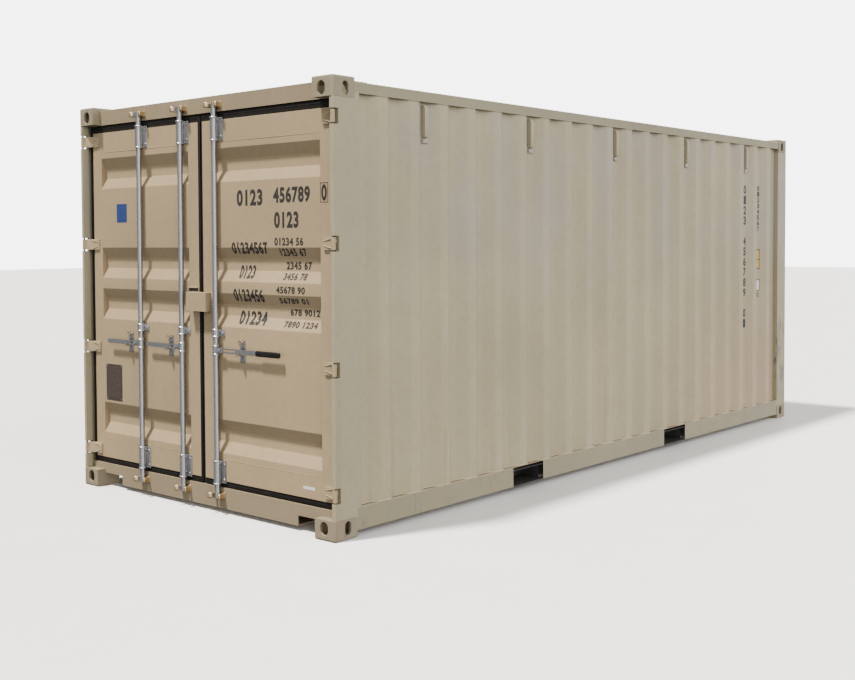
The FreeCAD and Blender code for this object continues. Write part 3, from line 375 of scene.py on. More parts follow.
@dataclass(frozen=True)
class Galvanised:
    """Hot-dip zinc with its spangle, dulled, brown where it has gone, and painted shade in its corners."""

    name: str
    colour: Colour = (0.335, 0.335, 0.345)
    rough: float = 0.30
    brown: float = 0.35
    # colour of the painted shade in corners
    painted_shade_colour: Colour = (0.10, 0.085, 0.07)
    rust_colour: Colour = (0.20, 0.10, 0.045)

    def build(self) -> bpy.types.Material:
        """Makes the material."""
        shades = Shades(self.name)
        dull = tuple(value * 0.84 for value in self.colour)
        tone = shades.mix(shades.step(shades.cells(120), 0.1, 0.9), dull, self.colour)
        tone = shades.mix(shades.step(shades.noise(9, 4, (1, 1, 0.3), 2), 0.4, 0.75, 0, 0.35), tone, dull)
        rust = shades.both(shades.step(shades.noise(55, 5, shift=4), 0.60, 0.72),
                           shades.step(shades.noise(5, 3, shift=6), 0.48, 0.66), self.brown)
        # painted shade: corners found by ambient occlusion, darkened towards a dark brown
        painted_shade = shades.both(shades.step(shades.corners(0.02), 0.35, 0.9), 0.5)
        tone = shades.mix(painted_shade, tone, self.painted_shade_colour)
        tone = shades.mix(rust, tone, self.rust_colour)
        shades.bump(shades.noise(160, 3), 0.0001, 0.12)
        rough = shades.step(shades.cells(120), 0.0, 1.0, self.rough - 0.03, self.rough + 0.06)
        return shades.finish(tone, shades.sum("ADD", rough, shades.both(rust, 0.3)),
                             shades.step(rust, 0.0, 0.6, 0.82, 0.15))


@dataclass(frozen=True)
class Rubber:
    """Black rubber, chalky in places."""

    name: str
    colour: Colour = (0.0075, 0.0062, 0.0052)
    rough: float = 0.6
    chalk: Colour = (0.022, 0.018, 0.014)

    def build(self) -> bpy.types.Material:
        """Makes the material."""
        shades = Shades(self.name)
        chalky = shades.step(shades.noise(12, 5), 0.45, 0.8, 0, 0.35)
        tone = shades.mix(chalky, self.colour, self.chalk)
        shades.bump(shades.noise(420, 3), 0.0004, 0.3)
        return shades.finish(tone, self.rough, specular=0.2)


@dataclass(frozen=True)
class DeckPlywood:
    """Sealed hardwood plywood, scuffed by loads and lift trucks."""

    name: str
    colour: Colour = (0.185, 0.100, 0.048)
    pale: Colour = (0.30, 0.185, 0.10)
    track: Colour = (0.10, 0.065, 0.04)
    dust: Colour = (0.30, 0.24, 0.18)

    def build(self) -> bpy.types.Material:
        """Makes the material."""
        shades = Shades(self.name)
        grain = shades.noise(1.0, 8, (4, 70, 40), 1)
        tone = shades.mix(shades.step(grain, 0.35, 0.7), self.colour, self.pale)
        tracks = shades.step(shades.noise(1.0, 6, (0.8, 9, 9), 4), 0.56, 0.72, 0, 0.5)
        tone = shades.mix(tracks, tone, self.track)
        tone = shades.mix(shades.step(shades.noise(2.2, 4, shift=8), 0.5, 0.8, 0, 0.35), tone, self.dust)
        shades.bump(grain, 0.0008, 0.35)
        return shades.finish(tone, shades.step(shades.noise(5, 4, shift=9), 0.2, 0.8, 0.42, 0.68))


@dataclass(frozen=True)
class Plain:
    """A small part's even finish, with fine relief and a little mottling."""

    name: str
    colour: Colour
    rough: float = 0.5
    metallic: float = 0.0
    mottle: float = 0.18
    relief: float = 0.3
    scale: float = 60.0

    def build(self) -> bpy.types.Material:
        """Makes the material."""
        shades = Shades(self.name)
        dark = tuple(value * (1 - self.mottle) for value in self.colour)
        tone = shades.mix(shades.step(shades.noise(self.scale, 5), 0.35, 0.7), dark, self.colour)
        shades.bump(shades.noise(self.scale * 5, 3), 0.0005, self.relief)
        return shades.finish(tone, self.rough, self.metallic)


@dataclass(frozen=True)
class Finishes:
    """Every finish of the container, built once."""

    wall: bpy.types.Material
    frame: bpy.types.Material
    post: bpy.types.Material
    door: bpy.types.Material
    casting: bpy.types.Material
    edge: bpy.types.Material
    casting_edge: bpy.types.Material
    zinc: bpy.types.Material
    bright_zinc: bpy.types.Material
    brown_zinc: bpy.types.Material
    rubber: bpy.types.Material
    grip: bpy.types.Material
    deck: bpy.types.Material
    underseal: bpy.types.Material
    steel: bpy.types.Material
    stencil: bpy.types.Material
    plate: bpy.types.Material
    label: bpy.types.Material
    blue: bpy.types.Material
    plate_rows: bpy.types.Material
    pin: bpy.types.Material
    rail: bpy.types.Material
    yellow: bpy.types.Material
    seal: bpy.types.Material

    @classmethod
    def make(cls) -> "Finishes":
        """Builds them all."""
        return cls(
            wall=ContainerPaint("wall_paint", (0.342, 0.290, 0.180), stain=0.40, scuffs=0.10, rust=0.2,
                                painted_shade=0.22, painted_sky_reflection=0.65, warm=0.45).build(),
            frame=ContainerPaint("frame_paint", (0.232, 0.184, 0.115), scuffs=0.30, rust=0.35,
                                 painted_shade=0.35).build(),
            post=ContainerPaint("post_paint", (0.300, 0.262, 0.166), stain=0.4, scuffs=0.9, rust=0.5,
                                painted_shade=0.3, painted_sky_reflection=0.5, scuff_cut=0.52,
                                bare_colour=(0.115, 0.112, 0.102)).build(),
            door=ContainerPaint("door_paint", (0.325, 0.242, 0.140), stain=0.18, scuffs=0.12, rust=0.15,
                                painted_shade=0.25).build(),
            casting=ContainerPaint("casting_paint", (0.222, 0.184, 0.120), stain=0.5, scuffs=1.0, rust=0.8,
                                   painted_shade=0.7, gloss=0.58, scuff_band=(-1.0, 4.0), scuff_cut=0.54).build(),
            # rounded edges in a paint lighter than the faces: painted highlight, with real chips
            edge=WornEdgeHighlight("worn_edge").build(),
            casting_edge=WornEdgeHighlight("casting_edge", share=0.8).build(),
            zinc=Galvanised("zinc").build(),
            bright_zinc=Galvanised("bright_zinc", (0.50, 0.50, 0.51), 0.26, 0.2).build(),
            brown_zinc=Galvanised("brown_zinc", (0.55, 0.40, 0.22), 0.34, 0.9).build(),
            rubber=Rubber("seal_rubber").build(),
            grip=Rubber("grip_rubber", (0.008, 0.008, 0.008), 0.42).build(),
            deck=DeckPlywood("deck_plywood").build(),
            underseal=Plain("underseal", (0.032, 0.030, 0.028), 0.62, mottle=0.5, relief=0.8,
                            scale=14).build(),
            steel=Plain("greased_steel", (0.20, 0.185, 0.17), 0.4, 0.8).build(),
            stencil=Plain("stencil_black", (0.020, 0.019, 0.018), 0.6).build(),
            plate=Plain("data_plate", (0.085, 0.062, 0.052), 0.4, 0.55).build(),
            label=Plain("blank_label", (0.62, 0.60, 0.55), 0.5, mottle=0.08).build(),
            blue=Plain("blue_label", (0.022, 0.045, 0.17), 0.4, mottle=0.35).build(),
            plate_rows=Plain("plate_rows", (0.14, 0.105, 0.09), 0.45, 0.5).build(),
            pin=Plain("pin_steel", (0.060, 0.052, 0.042), 0.5, 0.3).build(),
            rail=ContainerPaint("rail_paint", (0.236, 0.205, 0.126), scuffs=0.5, rust=0.4, painted_shade=0.3,
                                scuff_cut=0.56).build(),
            yellow=Plain("yellow_plate", (0.52, 0.30, 0.02), 0.5, mottle=0.15).build(),
            # a lighter paint for ledges, edges, ribs and beads: painted highlight
            seal=ContainerPaint("pale_seal", (0.47, 0.39, 0.25), painted_shade=0.1).build(),
        )


# ------------------------------------------------------------------ making pieces
def linked(name: str, data: Optional[bpy.types.ID]) -> bpy.types.Object:
    """Makes an object of the scene at the origin."""
    made = bpy.data.objects.new(name, data)
    bpy.context.scene.collection.objects.link(made)
    return made


def smooth_shaded(mesh: bpy.types.Mesh, angle: float) -> None:
    """Shades a mesh smooth, but sharp at edges over an angle in degrees."""
    for polygon in mesh.polygons:
        polygon.use_smooth = True
    mesh.set_sharp_from_angle(angle=math.radians(angle))


def facing_outward(shape: bmesh.types.BMesh, level: int, outward: float) -> None:
    """Turns a sheet's faces over if most of them look away from its outside."""
    shape.normal_update()
    if sum(face.normal[level] for face in shape.faces) * outward < 0:
        bmesh.ops.reverse_faces(shape, faces=shape.faces)


def piece_from(shape: bmesh.types.BMesh, name: str, materials: Sequence[bpy.types.Material],
               smooth: float = 35.0) -> bpy.types.Object:
    """Makes a scene object at the origin from a bmesh, and frees the bmesh.

    Args:
        shape: the geometry, in its place.
        name: the piece's name.
        materials: its material slots.
        smooth: edges under this many degrees are shaded smooth.

    Returns:
        The new object.
    """
    mesh = bpy.data.meshes.new(name)
    shape.to_mesh(mesh)
    shape.free()
    smooth_shaded(mesh, smooth)
    for material in materials:
        mesh.materials.append(material)
    return linked(name, mesh)


def rounded(made: bpy.types.Object, width: float, segments: int = 2, angle: float = 40.0,
            edge_slot: int = -1) -> bpy.types.Object:
    """Gives a piece a live bevel on its sharp edges.

    Args:
        made: the piece.
        width: the bevel's width in metres.
        segments: how many faces it is across.
        angle: the least edge angle that gets it, in degrees.
        edge_slot: the material slot of the bevel, or -1 for the faces' own.

    Returns:
        The same piece.
    """
    bevel = made.modifiers.new("soft edges", "BEVEL")
    bevel.width = width
    bevel.segments = segments
    bevel.limit_method = "ANGLE"
    bevel.angle_limit = math.radians(angle)
    bevel.harden_normals = True
    bevel.use_clamp_overlap = True
    bevel.material = edge_slot
    return made


def softened(node: str, finish: bpy.types.Material, edge: bpy.types.Material, width: float,
             segments: int = 2, angle: float = 40.0) -> bpy.types.Object:
    """Stands a copy with rounded edges in a CAD node's place, the edges in their own worn finish, in places a
    lighter paint that is a painted highlight.

    Args:
        node: the CAD node's name.
        finish: the material of its faces.
        edge: the material of its rounded edges.
        width: how wide the rounding is, in metres.
        segments: how many faces the rounding is across.
        angle: the least edge angle that is rounded, in degrees.

    Returns:
        The piece, riding on the node's body.
    """
    shape = merged_copy(node)
    bmesh.ops.dissolve_limit(shape, angle_limit=FLAT, verts=shape.verts, edges=shape.edges)
    made = piece_from(shape, node + "_soft", [finish, edge])
    rounded(made, width, segments, angle, edge_slot=1)
    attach(made, made_body(node))
    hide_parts(node)
    slot_of(node)
    return made


def made_body(node: str) -> str:
    """The body that a CAD node rides on."""
    return frame["nodes"][node]["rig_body"]


def slot_of(node: str) -> str:
    """The record's material slot of a CAD node."""
    return next(part["material_slot"] for part in frame["record"]["subparts"] if part["node"] == node)


def painted(node: str, finish: bpy.types.Material) -> None:
    """Gives a CAD node one finish."""
    mesh = frame["nodes"][node].data
    mesh.materials.clear()
    mesh.materials.append(finish)


# ------------------------------------------------------------------ solids made here
def rounded_outline(half_width: float, half_height: float, radius: float,
                    steps: int = 4) -> list[tuple[float, float]]:
    """Points round a rectangle with rounded corners, anticlockwise.

    Args:
        half_width: half the width.
        half_height: half the height.
        radius: the corner radius.
        steps: how many edges each corner has.

    Returns:
        The outline's points.
    """
    points = []
    for number, (side, level) in enumerate(((1, 1), (-1, 1), (-1, -1), (1, -1))):
        for step in range(steps + 1):
            angle = math.pi / 2 * (number + step / steps)
            points.append((side * (half_width - radius) + radius * math.cos(angle),
                           level * (half_height - radius) + radius * math.sin(angle)))
    return points


def turns(steps: int) -> list[float]:
    """Equal steps round a circle, in radians."""
    return [math.tau * step / steps for step in range(steps)]


def on_doors(x: float, y: float, z: float) -> Callable[[float, float], Vector]:
    """Places an outline's points round a centre, in a plane parallel to the doors."""
    return lambda across, up: Vector((x, y + across, z + up))


@dataclass
class Solids:
    """Closed solids gathered in one mesh, then made a piece."""

    shape: bmesh.types.BMesh = field(default_factory=bmesh.new)

    def skin(self, rings: Sequence[Sequence[Vector]], closed: bool = False) -> None:
        """Joins rings of points with faces.

        Args:
            rings: loops of the same number of points.
            closed: the last ring joins the first; otherwise the ends get faces.
        """
        loops = [[self.shape.verts.new(point) for point in ring] for ring in rings]
        pairs = list(zip(loops, loops[1:] + loops[:1] if closed else loops[1:]))
        count = len(loops[0])
        for first, second in pairs:
            for index in range(count):
                after = (index + 1) % count
                self.shape.faces.new((first[index], first[after], second[after], second[index]))
        if not closed:
            self.shape.faces.new(loops[0])
            self.shape.faces.new(loops[-1])

    def block(self, low: Sequence[float], high: Sequence[float]) -> None:
        """A block between two corners."""
        ring = [(low[0], low[1]), (high[0], low[1]), (high[0], high[1]), (low[0], high[1])]
        self.skin([[Vector((*point, level)) for point in ring] for level in (low[2], high[2])])

    def prism(self, outline: Outline, place: Callable[[float, float], Vector], travel: Vector) -> None:
        """A straight prism: 2-D points placed by `place`, pushed along `travel`."""
        ring = [place(*point) for point in outline]
        self.skin([ring, [point + travel for point in ring]])

    def ring_prism(self, outer: Outline, inner: Outline, place: Callable[[float, float], Vector],
                   travel: Vector) -> None:
        """A prism with one hole; both outlines have the same number of points."""
        near_out, near_in = [place(*point) for point in outer], [place(*point) for point in inner]
        self.skin([near_out, near_in, [point + travel for point in near_in],
                   [point + travel for point in near_out]], closed=True)

    def turned(self, profile: Outline, centre: Vector, steps: int = 28) -> None:
        """A ring turned round an upright axis.

        Args:
            profile: the ring's section, as (radius, height) points.
            centre: where the axis starts.
            steps: how many faces go round.
        """
        across = UP.orthogonal().normalized()
        other = UP.cross(across)
        self.skin([[centre + UP * height + (across * math.cos(turn) + other * math.sin(turn)) * radius
                    for turn in turns(steps)] for radius, height in profile], closed=True)

    def tube(self, points: Sequence[Vector], radius: float, steps: int = 10) -> None:
        """A round bar along a line of points."""
        rings = []
        for index, point in enumerate(points):
            before, after = points[max(index - 1, 0)], points[min(index + 1, len(points) - 1)]
            along = (after - before).normalized()
            across = along.orthogonal().normalized()
            other = along.cross(across)
            rings.append([point + (across * math.cos(turn) + other * math.sin(turn)) * radius
                          for turn in turns(steps)])
        self.skin(rings)

    def piece(self, name: str, body: str, materials: Sequence[bpy.types.Material], slot: str,
              soft: float = 0.0, smooth: float = 35.0) -> bpy.types.Object:
        """Makes the piece, outward facing, riding on a body.

        Args:
            name: the piece's name.
            body: the body it moves with.
            materials: its material slots.
            slot: the record's material slot; not used.
            soft: the width of its edges' rounding, or 0 for none.
            smooth: edges under this many degrees are shaded smooth.

        Returns:
            The piece.
        """
        bmesh.ops.recalc_face_normals(self.shape, faces=self.shape.faces)
        made = piece_from(self.shape, name, materials, smooth)
        if soft:
            rounded(made, soft)
        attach(made, body)
        LOG.info("made %s", name)
        return made


# ------------------------------------------------------------------ node-made fasteners and welds
class NodePlan:
    """A geometry node tree with named inputs, run once on a host mesh."""

    def __init__(self, name: str, sizes: dict[str, float]) -> None:
        """Starts the tree.

        Args:
            name: the tree's name.
            sizes: its named inputs and their usual values.
        """
        self.tree = bpy.data.node_groups.new(name, "GeometryNodeTree")
        face = self.tree.interface
        face.new_socket("Geometry", in_out="INPUT", socket_type="NodeSocketGeometry")
        self.keys = {}
        for label, value in sizes.items():
            socket = face.new_socket(label, in_out="INPUT", socket_type="NodeSocketFloat")
            socket.default_value = value
            self.keys[label] = socket.identifier
        face.new_socket("Geometry", in_out="OUTPUT", socket_type="NodeSocketGeometry")
        self.start = self.tree.nodes.new("NodeGroupInput")
        self.end = self.tree.nodes.new("NodeGroupOutput")

    def add(self, kind: str, sockets: Optional[dict[object, object]] = None,
            **settings: object) -> bpy.types.Node:
        """Adds a node.

        Args:
            kind: the node's type.
            sockets: values or outputs for its inputs, by name or number.
            settings: its other settings.

        Returns:
            The node.
        """
        node = self.tree.nodes.new(kind)
        for key, value in settings.items():
            setattr(node, key, value)
        for key, value in (sockets or {}).items():
            if isinstance(value, bpy.types.Node):
                value = value.outputs[0]
            if isinstance(value, bpy.types.NodeSocket):
                self.tree.links.new(value, node.inputs[key])
            else:
                node.inputs[key].default_value = value
        return node

    def size(self, label: str) -> bpy.types.NodeSocket:
        """The socket of a named input."""
        return self.start.outputs[label]

    def end_with(self, geometry: bpy.types.Node, finish: bpy.types.Material) -> None:
        """Ends the tree in Realize Instances and Set Material."""
        real = self.add("GeometryNodeRealizeInstances", {0: geometry})
        dressed = self.add("GeometryNodeSetMaterial", {"Geometry": real, "Material": finish})
        self.tree.links.new(dressed.outputs[0], self.end.inputs[0])

    def run(self, host: bpy.types.Mesh, name: str, sizes: dict[str, float], body: str, slot: str,
            smooth: float = 35.0) -> bpy.types.Object:
        """Runs the tree on a host mesh and keeps the result as a plain mesh.

        Args:
            host: the mesh that the tree starts from.
            name: the piece's name.
            sizes: values for the named inputs.
            body: the body the piece moves with.
            slot: the record's material slot; not used.
            smooth: edges under this many degrees are shaded smooth.

        Returns:
            The piece.
        """
        carrier = linked(name + "_host", host)
        modifier = carrier.modifiers.new("plan", "NODES")
        modifier.node_group = self.tree
        for label, value in sizes.items():
            modifier[self.keys[label]] = float(value)
        bpy.context.view_layer.update()
        graph = bpy.context.evaluated_depsgraph_get()
        mesh = bpy.data.meshes.new_from_object(carrier.evaluated_get(graph), depsgraph=graph)
        carrier.modifiers.clear()
        bpy.data.objects.remove(carrier)
        mesh.name = name
        smooth_shaded(mesh, smooth)
        made = linked(name, mesh)
        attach(made, body)
        LOG.info("ran %s: %d faces", name, len(mesh.polygons))
        return made


class Head(Enum):
    """The kinds of fastener head."""

    DOME = "dome"
    HEX = "hex"
    FLAT = "flat"


@dataclass
class Fasteners:
    """One kind of rivet, bolt or screw, set on points that face a way."""

    head: Head
    finish: bpy.types.Material
    sides: int = 12
    seed: int = 7
    taper: float = 0.88
    washer_share: float = 0.18
    plan: Optional[NodePlan] = None

    def tree(self) -> NodePlan:
        """The node tree: one head, instanced and turned on every point."""
        sizes = {"Head radius": 0.008, "Head height": 0.005, "Washer radius": 0.0}
        plan = NodePlan("fastener_" + self.head.value, sizes)
        radius, height, washer = (plan.size(label) for label in sizes)
        if self.head is Head.DOME:
            ball = plan.add("GeometryNodeMeshUVSphere", {"Segments": self.sides, "Rings": 6, "Radius": 1.0})
            wide = plan.add("ShaderNodeCombineXYZ", {0: radius, 1: radius, 2: height})
            body = plan.add("GeometryNodeTransform", {"Geometry": ball, "Scale": wide})
        else:
            sides = 6 if self.head is Head.HEX else self.sides
            narrow = plan.add("ShaderNodeMath", {0: radius, 1: self.taper}, operation="MULTIPLY")
            body = plan.add("GeometryNodeMeshCone", {"Vertices": sides, "Radius Top": narrow,
                                                     "Radius Bottom": radius, "Depth": height})
        flat = plan.add("ShaderNodeMath", {0: washer, 1: self.washer_share}, operation="MULTIPLY")
        disc = plan.add("GeometryNodeMeshCylinder", {"Vertices": 16, "Radius": washer, "Depth": flat})
        both = plan.add("GeometryNodeJoinGeometry")
        for part in (body, disc):
            plan.tree.links.new(part.outputs[0], both.inputs[0])
        facing = plan.add("GeometryNodeInputNamedAttribute", {"Name": "facing"}, data_type="FLOAT_VECTOR")
        aligned = plan.add("FunctionNodeAlignRotationToVector", {"Vector": facing}, axis="Z")
        turn = plan.add("FunctionNodeRandomValue", {2: 0.0, 3: math.tau, "Seed": self.seed},
                        data_type="FLOAT")
        spin = plan.add("FunctionNodeAxisAngleToRotation", {"Axis": (0, 0, 1), "Angle": turn.outputs[1]})
        turned = plan.add("FunctionNodeRotateRotation", {"Rotation": aligned, "Rotate By": spin},
                          rotation_space="LOCAL")
        placed = plan.add("GeometryNodeInstanceOnPoints", {"Points": plan.start.outputs[0], "Instance": both,
                                                           "Rotation": turned})
        plan.end_with(placed, self.finish)
        return plan

    def place(self, name: str, body: str, slot: str, spots: Sequence[tuple[Vector, Vector]], radius: float,
              height: float, washer: float = 0.0) -> bpy.types.Object:
        """Sets a head on every spot.

        Args:
            name: the piece's name.
            body: the body it moves with.
            slot: the record's material slot.
            spots: (place, outward direction) pairs.
            radius: the head's radius.
            height: the head's height above the surface.
            washer: the washer's radius, or 0 for none.

        Returns:
            The piece.
        """
        if self.plan is None:
            self.plan = self.tree()
        host = bpy.data.meshes.new(name + "_host")
        host.from_pydata([place for place, _ in spots], [], [])
        facing = host.attributes.new("facing", "FLOAT_VECTOR", "POINT")
        facing.data.foreach_set("vector", [value for _, way in spots for value in way])
        return self.plan.run(host, name, {"Head radius": radius, "Head height": height,
                                          "Washer radius": washer}, body, slot)


@dataclass
class WeldBeads:
    """Rippled weld beads or sealant along lines of points."""

    finish: bpy.types.Material
    plan: Optional[NodePlan] = None

    def tree(self) -> NodePlan:
        """The node tree: a resampled curve with an uneven round section."""
        plan = NodePlan("weld_bead", {"Bead radius": 0.004, "Ripple": 0.35, "Step": 0.008})
        curve = plan.add("GeometryNodeMeshToCurve", {"Mesh": plan.start.outputs[0]})
        even = plan.add("GeometryNodeResampleCurve", {"Curve": curve, "Length": plan.size("Step")},
                        mode="LENGTH")
        noise = plan.add("ShaderNodeTexNoise", {"Scale": 90.0, "Detail": 1.0})
        swell = plan.add("ShaderNodeMath", {0: noise.outputs[0], 1: plan.size("Ripple")},
                         operation="MULTIPLY")
        scale = plan.add("ShaderNodeMath", {0: swell, 1: 0.85}, operation="ADD")
        section = plan.add("GeometryNodeCurvePrimitiveCircle",
                           {"Resolution": 6, "Radius": plan.size("Bead radius")})
        bead = plan.add("GeometryNodeCurveToMesh", {"Curve": even, "Profile Curve": section, "Scale": scale,
                                                    "Fill Caps": True})
        plan.end_with(bead, self.finish)
        return plan

    def lay(self, name: str, body: str, slot: str, lines: Sequence[Sequence[Vector]], radius: float = 0.004,
            step: float = 0.008, ripple: float = 0.35) -> bpy.types.Object:
        """Lays a bead along each line.

        Args:
            name: the piece's name.
            body: the body it moves with.
            slot: the record's material slot.
            lines: the beads' centre lines.
            radius: the bead's radius.
            step: how far apart its ripples are.
            ripple: how uneven it is.

        Returns:
            The piece.
        """
        if self.plan is None:
            self.plan = self.tree()
        host = bpy.data.meshes.new(name + "_host")
        points, edges = [], []
        for line in lines:
            edges += [(len(points) + index, len(points) + index + 1) for index in range(len(line) - 1)]
            points += line
        host.from_pydata(points, edges, [])
        sizes = {"Bead radius": radius, "Step": step, "Ripple": ripple}
        return self.plan.run(host, name, sizes, body, slot, smooth=60)


# ------------------------------------------------------------------ the fixed structure
@dataclass
class SteelFrame:
    """Castings, posts, rails, header and sill: CAD pieces with softened edges."""

    finishes: Finishes
    widths: dict[str, float] = field(default_factory=lambda: {
        "bottom_corner_castings": 0.004, "top_corner_castings": 0.004,
        "left_rear_post": 0.003, "right_rear_post": 0.003,
        "left_front_post": 0.005, "right_front_post": 0.005,
        "left_bottom_side_rail": 0.0022, "right_bottom_side_rail": 0.0022,
        "left_top_side_rail": 0.005, "right_top_side_rail": 0.005,
        "front_top_rail": 0.005, "front_bottom_rail": 0.005,
        "door_header": 0.003, "door_sill": 0.003, "roof_corner_plates": 0.0015,
        "front_header_plate": 0.0015, "rail_bridges": 0.0015, "lock_box": 0.0018,
    })

    def build(self) -> None:
        """Makes the softened pieces and dresses the rest."""
        for node, width in self.widths.items():
            # rounded edges default to the lighter worn paint: painted highlight
            finish, edge = self.finishes.frame, self.finishes.edge
            if "casting" in node:
                finish, edge = self.finishes.casting, self.finishes.casting_edge
            elif "side_rail" in node:
                # the side rails' rounded edges and top ledge in the lighter paint: painted highlight
                finish, edge = self.finishes.rail, self.finishes.seal
            elif "_post" in node:
                finish = self.finishes.post
            elif node == "lock_box":
                finish = self.finishes.door
            softened(node, finish, edge, width)
            LOG.info("softened %s", node)
        for node in ("cross_members", "fork_pocket_sides", "fork_pocket_tops", "fork_pocket_straps"):
            painted(node, self.finishes.underseal)
        painted("hinge_pins", self.finishes.pin)
        painted("roof", self.finishes.wall)


# ------------------------------------------------------------------ fluted sheets
@dataclass
class FlutedSheet:
    """A pressed sheet whose folds are true bends, in the place of a CAD node."""

    node: str
    finish: bpy.types.Material
    run: int
    level: int
    outward: float
    bend: float = 0.014
    arc_steps: int = 4
    thickness: float = 0.002
    rows: int = 28
    dent: float = 0.0016
    seed: float = 0.0
    end_share: float = 0.03
    edge_row: float = 0.02
    straight: float = math.radians(89)

    def fold_line(self) -> list[Vector]:
        """The sheet's outer outline as (run, level) points, read from the CAD node."""
        mesh = frame["nodes"][self.node].data
        outer: dict[float, float] = {}
        for vertex in mesh.vertices:
            key = round(vertex.co[self.run], 5)
            value = vertex.co[self.level]
            if key not in outer or value * self.outward > outer[key] * self.outward:
                outer[key] = value
        return [Vector((run, outer[run])) for run in sorted(outer)]

    def bent_line(self) -> list[Vector]:
        """The outline with an arc in place of each fold."""
        corners = self.fold_line()
        line = [corners[0]]
        for before, corner, after in zip(corners, corners[1:], corners[2:]):
            back, on = (before - corner).normalized(), (after - corner).normalized()
            half = back.angle(on) / 2
            if half > self.straight:
                continue
            cut = min(self.bend / math.tan(half), (before - corner).length * 0.45,
                      (after - corner).length * 0.45)
            for step in range(self.arc_steps + 1):
                share = step / self.arc_steps
                first, last = corner + back * cut, corner + on * cut
                line.append(first.lerp(corner, share).lerp(corner.lerp(last, share), share))
        line.append(corners[-1])
        near, far = line[0].lerp(line[1], self.end_share), line[-1].lerp(line[-2], self.end_share)
        return [line[0], near, *line[1:-1], far, line[-1]]

    def build(self) -> bpy.types.Object:
        """Makes the piece in its place and hides the CAD node.

        Returns:
            The piece.
        """
        low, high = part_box(self.node)
        across = 3 - self.run - self.level
        line = self.bent_line()
        shape = bmesh.new()
        grid = []
        for row in [0, self.edge_row, *range(1, self.rows), self.rows - self.edge_row, self.rows]:
            place = low[across] + (high[across] - low[across]) * row / self.rows
            ring = []
            for point in line:
                spot = Vector((0, 0, 0))
                spot[self.run], spot[self.level], spot[across] = point.x, point.y, place
                spot[self.level] -= self.outward * self.hollow(spot, row)
                ring.append(shape.verts.new(spot))
            grid.append(ring)
        for lower, upper in zip(grid, grid[1:]):
            for index in range(len(line) - 1):
                shape.faces.new((lower[index], lower[index + 1], upper[index + 1], upper[index]))
        facing_outward(shape, self.level, self.outward)
        made = piece_from(shape, self.node + "_sheet", [self.finish], smooth=60)
        sheet = made.modifiers.new("thickness", "SOLIDIFY")
        sheet.thickness = self.thickness
        sheet.offset = -1.0
        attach(made, made_body(self.node))
        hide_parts(self.node)
        slot_of(self.node)
        LOG.info("sheet %s with %d folds", self.node, len(self.fold_line()))
        return made

    def surface(self, run: float, other: float) -> float:
        """The sheet's level at a place.

        Args:
            run: the place along the folds' run.
            other: the place across it.

        Returns:
            The outer surface's level.
        """
        low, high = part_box(self.node)
        across = 3 - self.run - self.level
        line = self.bent_line()
        first, last = next(((a, b) for a, b in zip(line, line[1:]) if a.x <= run <= b.x),
                           (line[0], line[1]))
        share = (run - first.x) / (last.x - first.x)
        spot = Vector((0, 0, 0))
        spot[self.run], spot[across] = run, other
        row = (other - low[across]) / (high[across] - low[across]) * self.rows
        return first.y + (last.y - first.y) * share - self.outward * self.hollow(spot, row)

    def hollow(self, spot: Vector, row: float) -> float:
        """How far a point is dented in: soft waves that vanish at the welded edges.

        Args:
            spot: the point.
            row: how many rows it is from the sheet's first edge.

        Returns:
            The dent's depth.
        """
        share = row / self.rows
        across = 3 - self.run - self.level
        wave = (math.sin(spot[self.run] * 3.1 + self.seed) * math.sin(spot[across] * 2.3 + self.seed * 2)
                + math.sin(spot[self.run] * 7.7 + spot[across] * 4.1 + self.seed * 3) * 0.6)
        return self.dent * (0.5 + wave * 0.3) * math.sin(math.pi * share)


